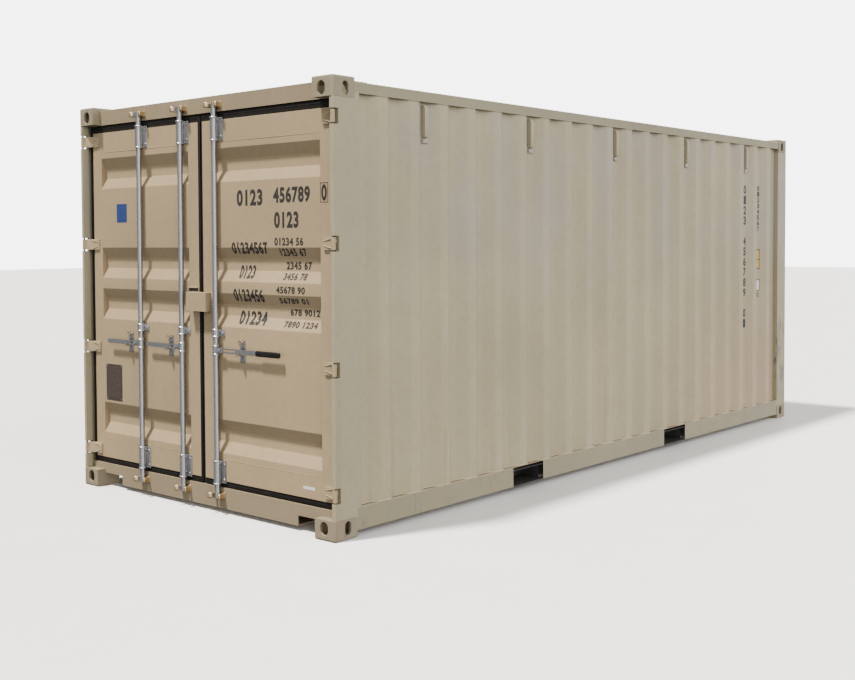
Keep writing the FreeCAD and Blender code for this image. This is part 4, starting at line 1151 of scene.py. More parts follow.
# ------------------------------------------------------------------ the door gear
@dataclass
class LockingGear:
    """Bars, bearings, guides, handles, catches and keepers."""

    finishes: Finishes
    bolts: Fasteners
    domes: Fasteners
    rods: dict[str, str] = field(default_factory=lambda: {"bar_1": "left_door", "bar_2": "left_door",
                                                          "bar_3": "right_door"})
    ring_radius: float = 0.0262
    ring_height: float = 0.009
    sleeve_radius: float = 0.0222
    plate_bolt_in: float = 0.013
    boss_radius: float = 0.017
    slot_half: float = 0.0055
    slot_margin: float = 0.030
    short_catch: float = 0.140
    long_catch: float = 0.222
    pivot_reach: float = 0.046
    # a horn's sections: share of its reach, half width, half height and lean
    horn: tuple[tuple[float, float, float, float], ...] = (
        (0.0, 0.0105, 0.0235, 0.0), (0.25, 0.0095, 0.019, 0.0), (0.5, 0.0095, 0.017, 0.002),
        (0.72, 0.0115, 0.0185, 0.006), (0.88, 0.0120, 0.0185, 0.010), (0.96, 0.0095, 0.0150, 0.012),
        (1.0, 0.0055, 0.0090, 0.013))
    grip_rings: int = 44
    grip_end: float = 0.010
    grip_pitch: float = 0.0115

    def build(self) -> None:
        """Builds every piece of the gear."""
        for side in Side:
            softened(side.word + "_door_brackets", self.finishes.zinc, self.finishes.bright_zinc, 0.0016, 2)
        for bar, door in self.rods.items():
            self.bar(bar)
            self.bearings(bar, door)
        for number, bar in enumerate(self.rods, 1):
            self.handle(f"handle_{number}", bar)
        self.grip()
        self.keepers()
        self.catches()

    def rod_line(self, bar: str) -> float:
        """The Y of a bar's axis: the middle of the bearings it passes through."""
        low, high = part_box(bar)
        near = [box for node in ("left_door_brackets", "right_door_brackets") for box in solid_boxes(node)
                if box[1].y > low.y and box[0].y < high.y]
        return sum(box[0].y + box[1].y for box in near) / len(near) / 2

    def axis_x(self) -> float:
        """The X of the bars' axes."""
        low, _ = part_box("left_door_brackets")
        return low.x + self.sleeve_radius - 0.0002

    def bar(self, bar: str) -> None:
        """Softens a bar and its cams."""
        softened(bar, self.finishes.zinc, self.finishes.zinc, 0.0022, 2, angle=50)

    def bearings(self, bar: str, door: str) -> None:
        """Dresses the bearings of one bar: end rings, plate bolts and guide bosses.

        Args:
            bar: the bar's CAD node.
            door: the leaf that carries it.
        """
        rod, axis = self.rod_line(bar), self.axis_x()
        boxes = [box for box in solid_boxes(door + "_brackets") if box[0].y < rod < box[1].y]
        tall = [box for box in boxes if box[1].z - box[0].z > 0.1]
        rings = Solids()
        bolts, bosses = [], []
        for low, high in boxes:
            for level in (low.z, high.z):
                start = level - self.ring_height / 2
                rings.turned([(self.sleeve_radius - 0.001, 0), (self.ring_radius - 0.002, 0),
                              (self.ring_radius, 0.0025), (self.ring_radius, self.ring_height - 0.0025),
                              (self.ring_radius - 0.002, self.ring_height),
                              (self.sleeve_radius - 0.001, self.ring_height)],
                             Vector((axis, rod, start)))
            face = high.x - 0.006
            inset = self.plate_bolt_in
            if (low, high) in tall:
                bolts += [(Vector((face, place, level)), -ALONG)
                          for place in (low.y + inset, high.y - inset)
                          for level in (low.z + 0.022, high.z - 0.022)]
            else:
                bosses += [(Vector((face, place, (low.z + high.z) / 2)), -ALONG)
                           for place in (low.y + self.boss_radius, high.y - self.boss_radius)]
        rings.piece(bar + "_sleeve_rings", door, [self.finishes.bright_zinc], "galvanised")
        frames = Solids()
        for low, high in tall:
            for way in (-1, 1):
                inner, outer = rod + way * 0.026, (high.y if way > 0 else low.y) - way * 0.004
                half, tall_half = abs(outer - inner) / 2, (high.z - low.z) / 2 - 0.004
                frames.ring_prism(rounded_outline(half, tall_half, 0.006),
                                  rounded_outline(half - 0.0035, tall_half - 0.0035, 0.004),
                                  on_doors(high.x - 0.0062, (inner + outer) / 2, (low.z + high.z) / 2),
                                  -ALONG * 0.0022)
        frames.piece(bar + "_bearing_flanges", door, [self.finishes.zinc], "galvanised", soft=0.0006)
        self.domes.place(bar + "_bearing_rivets", door, "galvanised", bolts, 0.0085, 0.006)
        self.bolts.place(bar + "_guide_bolts", door, "galvanised", bosses, 0.0095, 0.009, self.boss_radius)

    def handle(self, node: str, bar: str) -> None:
        """A flat handle whose inner half is slotted into two thin rods.

        Args:
            node: the handle's CAD node.
            bar: the bar it turns.
        """
        low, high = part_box(node)
        rod = self.rod_line(bar)
        inner = high.y if abs(high.y - rod) < abs(low.y - rod) else low.y
        way = 1 if low.y + high.y > 2 * rod else -1
        outer = low.y if way < 0 else high.y
        middle = (low.z + high.z) / 2
        half = (high.z - low.z) / 2
        pivot = inner + way * half
        catch = rod + way * (self.short_catch if node != "handle_3" else self.long_catch)
        centre, reach = (inner + outer) / 2, abs(outer - inner) / 2
        slot_start, slot_end = pivot + way * self.slot_margin, catch - way * self.slot_margin
        slot_middle, slot_reach = (slot_start + slot_end) / 2, abs(slot_end - slot_start) / 2
        made = Solids()
        made.ring_prism(rounded_outline(reach, half * 0.94, half * 0.9, 6),
                        [(slot_middle - centre + y, z) for y, z in
                         rounded_outline(slot_reach, self.slot_half, self.slot_half * 0.95, 6)],
                        on_doors(low.x, centre, middle), ALONG * (high.x - low.x))
        piece = made.piece(node + "_bar", made_body(node), [self.finishes.zinc], "galvanised", soft=0.0012)
        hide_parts(node)
        self.bolts.place(node + "_pivot_bolt", made_body(bar), "galvanised",
                         [(Vector((low.x - 0.0045, rod + way * self.pivot_reach, middle)), -ALONG)],
                         0.0085, 0.007, 0.0125)
        hub = Solids()
        for level in (-0.030, 0.022):
            hub.turned([(0.0172, 0), (0.0215, 0), (0.0232, 0.0018), (0.0232, 0.0062), (0.0215, 0.008),
                        (0.0172, 0.008)],
                       Vector((self.axis_x(), rod, middle + level)))
        hub.piece(node + "_hub_rings", made_body(bar), [self.finishes.bright_zinc], "galvanised")

    def grip(self) -> None:
        """The soft black grip with a rounded end and shallow finger rings."""
        low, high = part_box("handle_3_grip")
        half_x, half_z = (high.x - low.x) / 2, (high.z - low.z) / 2
        centre_x, centre_z = (high.x + low.x) / 2, (high.z + low.z) / 2
        length = high.y - low.y
        rings = []
        for step in range(self.grip_rings + 1):
            share = step / self.grip_rings
            end = min(share * length, (1 - share) * length)
            shrink = 1.0
            if end <= self.grip_end:
                shrink = 0.72 + 0.28 * math.sin(math.pi / 2 * end / self.grip_end)
            ripple = 1.0
            if 0.03 < share < 0.93:
                ripple = 0.965 + 0.035 * math.cos(share * length / self.grip_pitch * math.tau)
            scale = shrink * ripple
            rings.append([Vector((centre_x + x * scale, high.y - share * length, centre_z + z * scale))
                          for x, z in rounded_outline(half_x, half_z, half_x * 0.9, 5)])
        made = Solids()
        made.skin(rings)
        piece = made.piece("handle_3_soft_grip", made_body("handle_3_grip"), [self.finishes.grip],
                           "grip_rubber", smooth=60)
        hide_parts("handle_3_grip")

    def keepers(self) -> None:
        """Forged horns on a pad for each end of each bar, in the CAD blocks' places."""
        boxes = solid_boxes("bar_keepers")
        pads, horns = Solids(), Solids()
        for first, second in zip(boxes[::2], boxes[1::2]):
            middle_y, middle_z = (first[0].y + second[1].y) / 2, (first[0].z + first[1].z) / 2
            face, reach = first[1].x, first[1].x - first[0].x
            pads.prism(rounded_outline((second[1].y - first[0].y) / 2 - 0.012, 0.0245, 0.010),
                       on_doors(face, middle_y, middle_z), -ALONG * 0.005)
            for low, high in (first, second):
                way = 1 if low.y > middle_y else -1
                root = (low.y if way > 0 else high.y) + way * 0.011
                horns.skin([[Vector((face - reach * share, root + way * lean + y, middle_z + z))
                             for y, z in rounded_outline(wide, tall, wide * 0.9, 5)]
                            for share, wide, tall, lean in self.horn])
        pads.piece("keeper_pads", "container", [self.finishes.brown_zinc], "galvanised", soft=0.0015)
        made = horns.piece("keeper_horns", "container", [self.finishes.brown_zinc], "galvanised", smooth=60)
        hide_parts("bar_keepers")

    def catches(self) -> None:
        """Eye lugs above the handles, cradles below, and their base plates."""
        for node, door in (("left_door_catches", "left_door"), ("right_door_catch", "right_door")):
            softened(node, self.finishes.zinc, self.finishes.brown_zinc, 0.003, 2)
            spots, plates, eyes = [], Solids(), Solids()
            for low, high in solid_boxes(node):
                middle = (low.y + high.y) / 2
                plates.prism(rounded_outline(0.024, (high.z - low.z) / 2 + 0.002, 0.010),
                             on_doors(high.x, middle, (low.z + high.z) / 2), -ALONG * 0.0035)
                spots += [(Vector((high.x - 0.0035, middle, level)), -ALONG)
                          for level in (low.z + 0.012, high.z - 0.012)]
                outline = rounded_outline(0.0165, 0.0165, 0.0164, 6)
                hole = [(y * 0.45, z * 0.45) for y, z in outline]
                eyes.ring_prism(outline, hole, on_doors(high.x - 0.020, middle, high.z - 0.012),
                                -ALONG * 0.006)
            plates.piece(node + "_plates", door, [self.finishes.zinc], "galvanised", soft=0.0012)
            eyes.piece(node + "_eyes", door, [self.finishes.brown_zinc], "galvanised", soft=0.0012)
            self.domes.place(node + "_rivets", door, "galvanised", spots, 0.0075, 0.005)


@dataclass
class Hinges:
    """Blades with pressed ribs, and pin heads."""

    finishes: Finishes
    domes: Fasteners
    rib_reach: float = 0.0045

    def build(self) -> None:
        """Builds the hinges of both leaves."""
        for side in Side:
            door = side.word + "_door"
            # the blades' rounded edges in the lighter paint: painted highlight
            softened(door + "_hinge_blades", self.finishes.door, self.finishes.seal, 0.0032, 3)
            ribs = Solids()
            for low, high in solid_boxes(door + "_hinge_blades"):
                face = high.x - 0.012
                inner = low.y if side is Side.LEFT else high.y
                for level, lean in ((low.z + 0.008, 1), (high.z - 0.008, -1)):
                    start = Vector((face, inner + side.value * 0.004, level + lean * 0.014))
                    end = Vector((face, inner + side.value * 0.066, level))
                    ribs.prism([(0, 0), (1, 0), (1, 1), (0, 0.25)],
                               lambda along, out, s=start, e=end:
                               s.lerp(e, along) + Vector((0.001 - out * self.rib_reach, 0, 0)),
                               UP * 0.005)
            # the ribs in the lighter paint: painted highlight
            ribs.piece(door + "_hinge_ribs", door, [self.finishes.seal], "frame_paint", soft=0.001)
        heads = []
        for low, high in solid_boxes("hinge_pins"):
            middle = (low + high) / 2
            heads.append((Vector((middle.x, middle.y, high.z)), UP))
        self.domes.place("hinge_pin_heads", "container", "frame_paint", heads, 0.0068, 0.003)


@dataclass
class DoorSeals:
    """Rubber seals with a beaded lip, a ridge and riveted retaining strips inside."""

    finishes: Finishes
    domes: Fasteners
    lip: float = 0.0042
    strip_width: float = 0.026
    strip_height: float = 0.0025
    rivets_across: int = 10
    rivets_up: int = 18

    def build(self) -> None:
        """Builds the seals of both leaves."""
        for side in Side:
            door = side.word + "_door"
            node = door + "_gasket"
            softened(node, self.finishes.rubber, self.finishes.rubber, 0.002, 2)
            low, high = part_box(node)
            leaf_low, leaf_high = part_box(door + "_frame")
            lips = Solids()
            for inset, front in ((0.006, low.x + 0.001), (0.016, low.x + 0.0005)):
                corners = [(low.y + inset, low.z + inset), (high.y - inset, low.z + inset),
                           (high.y - inset, high.z - inset), (low.y + inset, high.z - inset)]
                rings = []
                for y, z in corners:
                    out_y = -1 if y < (low.y + high.y) / 2 else 1
                    out_z = -1 if z < (low.z + high.z) / 2 else 1
                    rings.append([Vector((front - self.lip * math.cos(turn) * 0.6,
                                          y + out_y * self.lip * math.sin(turn),
                                          z + out_z * self.lip * math.sin(turn))) for turn in turns(10)])
                lips.skin(rings, closed=True)
            lips.piece(node + "_lips", door, [self.finishes.rubber], "rubber")
            strips, rivets = Solids(), []
            back, half = leaf_high.x, self.strip_width / 2
            top = back + self.strip_height
            for level in (leaf_low.z + 0.018, leaf_high.z - 0.018):
                strips.block((back - 0.0005, leaf_low.y + 0.02, level - half),
                             (top, leaf_high.y - 0.02, level + half))
                length, count = leaf_high.y - leaf_low.y - 0.10, self.rivets_across
                rivets += [(Vector((top, leaf_low.y + 0.05 + length * number / count, level)), ALONG)
                           for number in range(count + 1)]
            for place in (leaf_low.y + 0.018, leaf_high.y - 0.018):
                strips.block((back - 0.0005, place - half, leaf_low.z + 0.036),
                             (top, place + half, leaf_high.z - 0.036))
                length, count = leaf_high.z - leaf_low.z - 0.12, self.rivets_up
                rivets += [(Vector((top, place, leaf_low.z + 0.06 + length * number / count)), ALONG)
                           for number in range(count + 1)]
            strips.piece(node + "_strips", door, [self.finishes.zinc], "galvanised", soft=0.0008)
            self.domes.place(node + "_rivets", door, "galvanised", rivets, 0.006, 0.003)


@dataclass
class Leaves:
    """The leaves' hollow frames, softened, with weld seams along the sheets' top and bottom edges."""

    finishes: Finishes
    welds: WeldBeads

    def build(self) -> None:
        """Builds both leaves."""
        for side in Side:
            door = side.word + "_door"
            softened(door + "_frame", self.finishes.door, self.finishes.edge, 0.004, 3)
            softened(door + "_lock_lug", self.finishes.door, self.finishes.edge, 0.0012, 2)
            low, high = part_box(door + "_panel")
            front = low.x + 0.0006
            seams = [[Vector((front, low.y, level)), Vector((front, high.y, level))]
                     for level in (low.z - 0.0008, high.z + 0.0008)]
            self.welds.lay(door + "_sheet_seams", door, "frame_paint", seams, 0.0018, 0.012, 0.3)


@dataclass
class LockBox:
    """The padlock guard's bracket tabs, and on the left leaf a keeper lip in the lighter edge paint, a
    painted highlight, over a black sheet that paints a slot's shadow.
    """

    finishes: Finishes
    lip_inner: float = 0.030
    lip_outer: float = 0.125
    lip_reach: float = 0.010
    # the middle of the black sheet that paints the slot's shadow
    slot_middle: float = 0.076

    def build(self) -> None:
        """Builds the tabs, the lip and, below it, a black sheet that paints a slot's shadow."""
        low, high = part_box("lock_box")
        middle = (low.z + high.z) / 2
        tabs = Solids()
        for level in (0.012, -0.030):
            tabs.prism(rounded_outline(0.010, 0.013, 0.004),
                       on_doors(high.x - 0.008, low.y + 0.012, middle + level), -ALONG * 0.006)
        tabs.piece("lock_box_tabs", "right_door", [self.finishes.bright_zinc], "galvanised", soft=0.0012)
        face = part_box("left_door_frame")[0].x
        lip = Solids()
        front, back = face - self.lip_reach, face + 0.001
        lip.block((front, self.lip_inner, high.z + 0.024), (back, self.lip_outer, high.z + 0.030))
        lip.block((front, self.lip_outer - 0.006, high.z + 0.004), (back, self.lip_outer, high.z + 0.026))
        # the lip in the lighter edge paint: painted highlight
        lip.piece("left_leaf_slot_lip", "left_door", [self.finishes.edge], "frame_paint", soft=0.0015)
        # painted shadow: a thin black sheet on the leaf's face where a slot's shade would be
        dark = Solids()
        dark.prism(rounded_outline(0.043, 0.008, 0.003),
                   on_doors(face - 0.0012, self.slot_middle, high.z + 0.013), ALONG * 0.0008)
        dark.piece("left_leaf_slot", "left_door", [self.finishes.stencil], "frame_paint")


# ------------------------------------------------------------------ walls' small parts
@dataclass
class Vents:
    """Ventilator boxes: a hooded shell with a flanged foot and rivets."""

    finishes: Finishes
    domes: Fasteners
    flange: float = 0.003
    foot: float = 0.012

    def build(self) -> None:
        """Builds the vents of both sides."""
        for side in Side:
            node = side.word + "_side_vents"
            made, rivets = Solids(), []
            for low, high in solid_boxes(node):
                out = side.value
                back = low.y if out > 0 else high.y
                front = high.y if out > 0 else low.y
                width = high.x - low.x
                profile = [(back, low.z + 0.030), (front - out * 0.006, low.z + 0.036),
                           (front, low.z + 0.048), (front, high.z - 0.02),
                           (front - out * 0.008, high.z), (back, high.z)]
                made.prism(profile, lambda y, z, x=low.x: Vector((x, y, z)), ALONG * (width * 0.56))
                flange, foot = back + out * self.flange, back + out * self.foot
                made.block((low.x + width * 0.5, min(back, flange), low.z),
                           (high.x, max(back, flange), high.z))
                made.block((low.x, min(back, foot), low.z),
                           (high.x - 0.012, max(back, foot), low.z + 0.024))
                rivets += [(Vector((low.x + width * 0.78, flange, level)), ACROSS * out)
                           for level in (low.z + 0.055, low.z + 0.128, high.z - 0.022)]
                rivets += [(Vector((place, foot, low.z + 0.012)), ACROSS * out)
                           for place in (low.x + 0.014, high.x - 0.026)]
            piece = made.piece(node + "_hoods", "container", [self.finishes.wall], "wall_paint",
                               soft=0.0025)
            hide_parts(node)
            self.domes.place(node + "_rivets", "container", "galvanised", rivets, 0.0068, 0.0042, 0.0105)


@dataclass
class Deck:
    """Plywood boards with gaps between them and rows of countersunk screws."""

    finishes: Finishes
    screws: Fasteners
    gap: float = 0.003
    boards: int = 5
    screw_radius: float = 0.0065
    screw_inset: float = 0.06
    screws_across: int = 12

    def build(self) -> None:
        """Builds the boards and their screws."""
        low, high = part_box("cargo_floor")
        made = Solids()
        step = (high.x - low.x) / self.boards
        for row in range(self.boards):
            for side in Side:
                edges = sorted((side.value * self.gap, side.value * high.y))
                made.block((low.x + row * step + self.gap / 2, edges[0], low.z),
                           (low.x + (row + 1) * step - self.gap / 2, edges[1], high.z))
        piece = made.piece("deck_boards", "container", [self.finishes.deck], "plywood", soft=0.0015)
        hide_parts("cargo_floor")
        spots = []
        for member_low, member_high in solid_boxes("cross_members"):
            middle = (member_low.x + member_high.x) / 2
            length = high.y - low.y - 2 * self.screw_inset
            for number in range(self.screws_across):
                place = low.y + self.screw_inset + length * number / (self.screws_across - 1)
                spots.append((Vector((middle, place, high.z - 0.0004)), UP))
        self.screws.place("deck_screws", "container", "galvanised", spots, self.screw_radius, 0.0006)


@dataclass
class WallWelds:
    """Sealed seams where walls, rails, posts and castings meet; the bead along each wall's foot is in the
    lighter paint, a painted highlight.
    """

    welds: WeldBeads
    # beads in the lighter paint: painted highlight
    sealant: WeldBeads
    half_length: float = 3.029
    half_width: float = 1.219
    seam_end: float = 1.170
    inset: float = 0.0065

    def build(self, walls: dict[str, FlutedSheet]) -> None:
        """Lays the beads.

        Args:
            walls: the fluted sheets by CAD node.
        """
        for side in Side:
            sheet = walls[side.word + "_side_wall"]
            low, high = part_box(sheet.node)
            line = sheet.bent_line()
            lines = [[Vector((point.x, point.y + side.value * 0.0015, level)) for point in line]
                     for level in (low.z + 0.001, high.z - 0.001)]
            self.welds.lay(side.word + "_wall_head_seam", "container", "frame_paint", lines[1:],
                           0.003, 0.014, 0.4)
            # the foot seam's bead in the lighter paint: painted highlight on the ledge
            self.sealant.lay(side.word + "_wall_foot_seam", "container", "frame_paint", lines[:1],
                             0.0045, 0.014, 0.4)
        low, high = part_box("front_wall")
        line = walls["front_wall"].bent_line()
        self.welds.lay("front_wall_seams", "container", "frame_paint",
                       [[Vector((point.y + 0.0015, point.x, level)) for point in line]
                        for level in (low.z + 0.001, high.z - 0.001)], 0.0032, 0.014, 0.4)
        corners = []
        for node, edge in (("bottom_corner_castings", 1), ("top_corner_castings", 0)):
            for box in solid_boxes(node):
                level = box[edge].z
                out_x = 1 if box[0].x > 0 else -1
                out_y = 1 if box[0].y > 0 else -1
                face_x = out_x * (self.half_length - self.inset)
                face_y = out_y * (self.half_width - self.inset)
                near_x = box[0].x if out_x > 0 else box[1].x
                corners.append([Vector((near_x, face_y, level)), Vector((face_x, face_y, level)),
                                Vector((face_x, out_y * self.seam_end, level))])
        self.welds.lay("casting_welds", "container", "casting_paint", corners, 0.0028, 0.009, 0.5)


# ------------------------------------------------------------------ markings
@dataclass(frozen=True)
class Line:
    """One line of plain digits: where it starts and ends, and its height."""

    text: str
    left: float
    right: float
    low: float
    high: float
    stacked: bool = False


@dataclass
class Markings:
    """Counting digits laid on a fluted sheet, following its bends."""

    finish: bpy.types.Material
    sheet: FlutedSheet
    lines: Sequence[Line]
    across: int
    lift: float = 0.0005
    blocks: Sequence[tuple[float, float, float, float]] = ()
    frame_margin: float = 0.009
    frame_width: float = 0.004
    digit_share: float = 0.84

    def glyphs(self, text: str) -> bpy.types.Mesh:
        """The digits as a flat mesh in X and Y."""
        curve = bpy.data.curves.new("digits", "FONT")
        curve.body = text
        curve.space_character = 1.12
        curve.resolution_u = 4
        curve.offset = 0.042
        carrier = linked("digits", curve)
        bpy.context.view_layer.update()
        graph = bpy.context.evaluated_depsgraph_get()
        mesh = bpy.data.meshes.new_from_object(carrier.evaluated_get(graph))
        bpy.data.objects.remove(carrier)
        return mesh

    def set_out(self, shape: bmesh.types.BMesh, text: str, box: tuple[float, float, float, float]) -> None:
        """Adds digits stretched into a box.

        Args:
            shape: where the digits go, flat.
            text: the digits.
            box: left, right, low and high.
        """
        mesh = self.glyphs(text)
        left, right, low, high = box
        xs, ys = [v.co.x for v in mesh.vertices], [v.co.y for v in mesh.vertices]
        least, wide = min(xs), max(xs) - min(xs)
        base, tall = min(ys), max(ys) - min(ys)
        made = []
        for vertex in mesh.vertices:
            spot = Vector((0, 0, 0))
            spot[self.across] = left + (right - left) * (vertex.co.x - least) / wide
            spot[2] = low + (high - low) * (vertex.co.y - base) / tall
            made.append(shape.verts.new(spot))
        for polygon in mesh.polygons:
            shape.faces.new([made[index] for index in polygon.vertices])

    def rectangle(self, shape: bmesh.types.BMesh, left: float, right: float, low: float, high: float) -> None:
        """Adds a flat rectangle."""
        ring = []
        for place, level in ((left, low), (right, low), (right, high), (left, high)):
            spot = Vector((0, 0, level))
            spot[self.across] = place
            ring.append(shape.verts.new(spot))
        shape.faces.new(ring)

    def frame_round(self, shape: bmesh.types.BMesh, line: Line) -> None:
        """Adds a thin square frame round a line."""
        way, margin = (1 if line.right > line.left else -1), self.frame_margin
        left, right = line.left - way * margin, line.right + way * margin
        low, high, width = line.low - margin, line.high + margin, self.frame_width
        for side in ((left, right, low, low + width), (left, right, high - width, high),
                     (left, left + way * width, low, high), (right - way * width, right, low, high)):
            self.rectangle(shape, *side)

    def build(self, name: str, framed: Sequence[int] = ()) -> bpy.types.Object:
        """Makes the piece.

        Args:
            name: the piece's name.
            framed: the numbers of the lines that have a frame round them.

        Returns:
            The piece.
        """
        shape = bmesh.new()
        for line in self.lines:
            if not line.stacked:
                self.set_out(shape, line.text, (line.left, line.right, line.low, line.high))
                continue
            pitch = (line.high - line.low) / len(line.text)
            for number, digit in enumerate(line.text):
                if digit == " ":
                    continue
                top = line.high - number * pitch
                self.set_out(shape, digit, (line.left, line.right, top - pitch * self.digit_share, top))
        for number in framed:
            self.frame_round(shape, self.lines[number])
        for block in self.blocks:
            self.rectangle(shape, *block)
        run, level = self.sheet.run, self.sheet.level
        other = 3 - run - level
        normal = Vector((0, 0, 0))
        normal[run] = 1
        for point in self.sheet.bent_line():
            bmesh.ops.bisect_plane(shape, geom=shape.verts[:] + shape.edges[:] + shape.faces[:],
                                   plane_co=normal * point.x, plane_no=normal, dist=1e-6)
        for vertex in shape.verts:
            surface = self.sheet.surface(vertex.co[run], vertex.co[other])
            vertex.co[level] = surface + self.sheet.outward * self.lift
        facing_outward(shape, level, self.sheet.outward)
        made = piece_from(shape, name, [self.finish], smooth=60)
        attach(made, made_body(self.sheet.node))
        slot_of(self.sheet.node)
        LOG.info("marked %s", name)
        return made


@dataclass
class Plates:
    """Blank plates on the leaves; each box is least and most Y, then least and most Z."""

    finishes: Finishes
    sheets: dict[str, FlutedSheet]
    rivets: Fasteners
    data_box: tuple[float, float, float, float] = (0.848, 1.028, 0.600, 0.847)
    data_rows: int = 15
    row_pitch: float = 0.0143
    blue_box: tuple[float, float, float, float] = (0.772, 0.885, 1.808, 1.932)
    tag_box: tuple[float, float, float, float] = (-0.996, -0.900, 0.253, 0.270)

    def on_door(self, name: str, door: str, box: tuple[float, float, float, float], thick: float,
                finish: bpy.types.Material, depth: Optional[float] = None) -> float:
        """A plate on a leaf's sheet.

        Args:
            name: the piece's name.
            door: the leaf's body.
            box: least and most Y, least and most Z.
            thick: how thick it is.
            finish: its finish.
            depth: the X of its back, or None for the sheet's highest place behind it.

        Returns:
            The X of its front.
        """
        y0, y1, z0, z1 = box
        sheet = self.sheets[door + "_panel"]
        if depth is None:
            depth = min(sheet.surface(z0 + (z1 - z0) * step / 20, (y0 + y1) / 2) for step in range(21))
        made = Solids()
        made.prism(rounded_outline((y1 - y0) / 2, (z1 - z0) / 2, 0.004),
                   on_doors(depth, (y0 + y1) / 2, (z0 + z1) / 2), -ALONG * thick)
        made.piece(name, door, [finish], "frame_paint", soft=thick * 0.3)
        return depth - thick

    def build(self) -> None:
        """Builds every plate."""
        front = self.on_door("data_plate", "left_door", self.data_box, 0.0016, self.finishes.plate)
        y0, y1, z0, z1 = self.data_box
        self.rivets.place("data_plate_rivets", "left_door", "galvanised",
                          [(Vector((front, y, z)), -ALONG) for y in (y0 + 0.010, y1 - 0.010)
                           for z in (z0 + 0.010, z1 - 0.010)], 0.0042, 0.002)
        rows = Solids()
        for number in range(self.data_rows):
            level = z0 + 0.025 + number * self.row_pitch
            rows.block((front - 0.0004, y0 + 0.014, level), (front + 0.0004, y1 - 0.014, level + 0.0035))
        rows.piece("data_plate_rows", "left_door", [self.finishes.plate_rows], "frame_paint")
        self.on_door("blue_label", "left_door", self.blue_box, 0.0006, self.finishes.blue)
        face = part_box("right_door_frame")[0].x
        self.on_door("white_tag", "right_door", self.tag_box, 0.0006, self.finishes.label, face)


@dataclass
class LashingRings:
    """Lashing rings inside, along the foot and the head of both walls."""

    finishes: Finishes
    count: int = 5
    ring: float = 0.024
    rod: float = 0.0045
    wall_face: float = 1.172
    foot_rise: float = 0.045
    head_drop: float = 0.06
    ear: float = 0.009

    def build(self) -> None:
        """Makes the rings and their welded ears."""
        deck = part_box("cargo_floor")[1].z
        made = Solids()
        for side in Side:
            low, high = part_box(side.word + "_side_wall")
            face = self.wall_face * side.value
            for number in range(self.count):
                x = low.x + (high.x - low.x) * (number + 0.5) / self.count
                for level in (deck + self.foot_rise, high.z - self.head_drop):
                    centre = Vector((x, face - side.value * 0.014, level))
                    rings = []
                    for place in turns(24):
                        point = centre + Vector((math.sin(place), 0, math.cos(place))) * self.ring
                        out = (point - centre).normalized()
                        rings.append([point + (out * math.cos(turn) + ACROSS * math.sin(turn)) * self.rod
                                      for turn in turns(8)])
                    made.skin(rings, closed=True)
                    top, edges = level + self.ring, sorted((face, face - side.value * 0.022))
                    made.block((x - self.ear, edges[0], top - self.ear),
                               (x + self.ear, edges[1], top + self.ear))
        made.piece("lashing_rings", "container", [self.finishes.frame], "frame_paint")


@dataclass
class Scuffs:
    """Thin dark scratches on the rear post; each is its X, low Z, length and lean."""

    finish: bpy.types.Material
    thick: float = 0.0007
    scratches: tuple[tuple[float, float, float, float], ...] = (
        (-2.871, 1.762, 0.058, -0.004), (-2.990, 0.742, 0.070, 0.006), (-2.984, 0.566, 0.094, -0.007),
        (-2.992, 0.402, 0.046, 0.004), (-2.978, 0.338, 0.030, 0.003), (-2.930, 1.120, 0.024, 0.002))

    def build(self) -> None:
        """Makes the scratches, just proud of the paint."""
        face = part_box("right_rear_post")[0].y
        made = Solids()
        for x, z, tall, lean in self.scratches:
            line = [Vector((x + lean * math.sin(step * 1.3), face + 0.0004, z + tall * step / 4))
                    for step in range(5)]
            made.tube(line, self.thick, 6)
        made.piece("post_scratches", "container", [self.finish], "frame_paint")


# ------------------------------------------------------------------ the studio
@dataclass(frozen=True)
class Sun:
    """A sun: the way its light goes, its power, its spread in degrees and its colour."""

    name: str
    travel: tuple[float, float, float]
    power: float
    spread: float
    colour: Colour


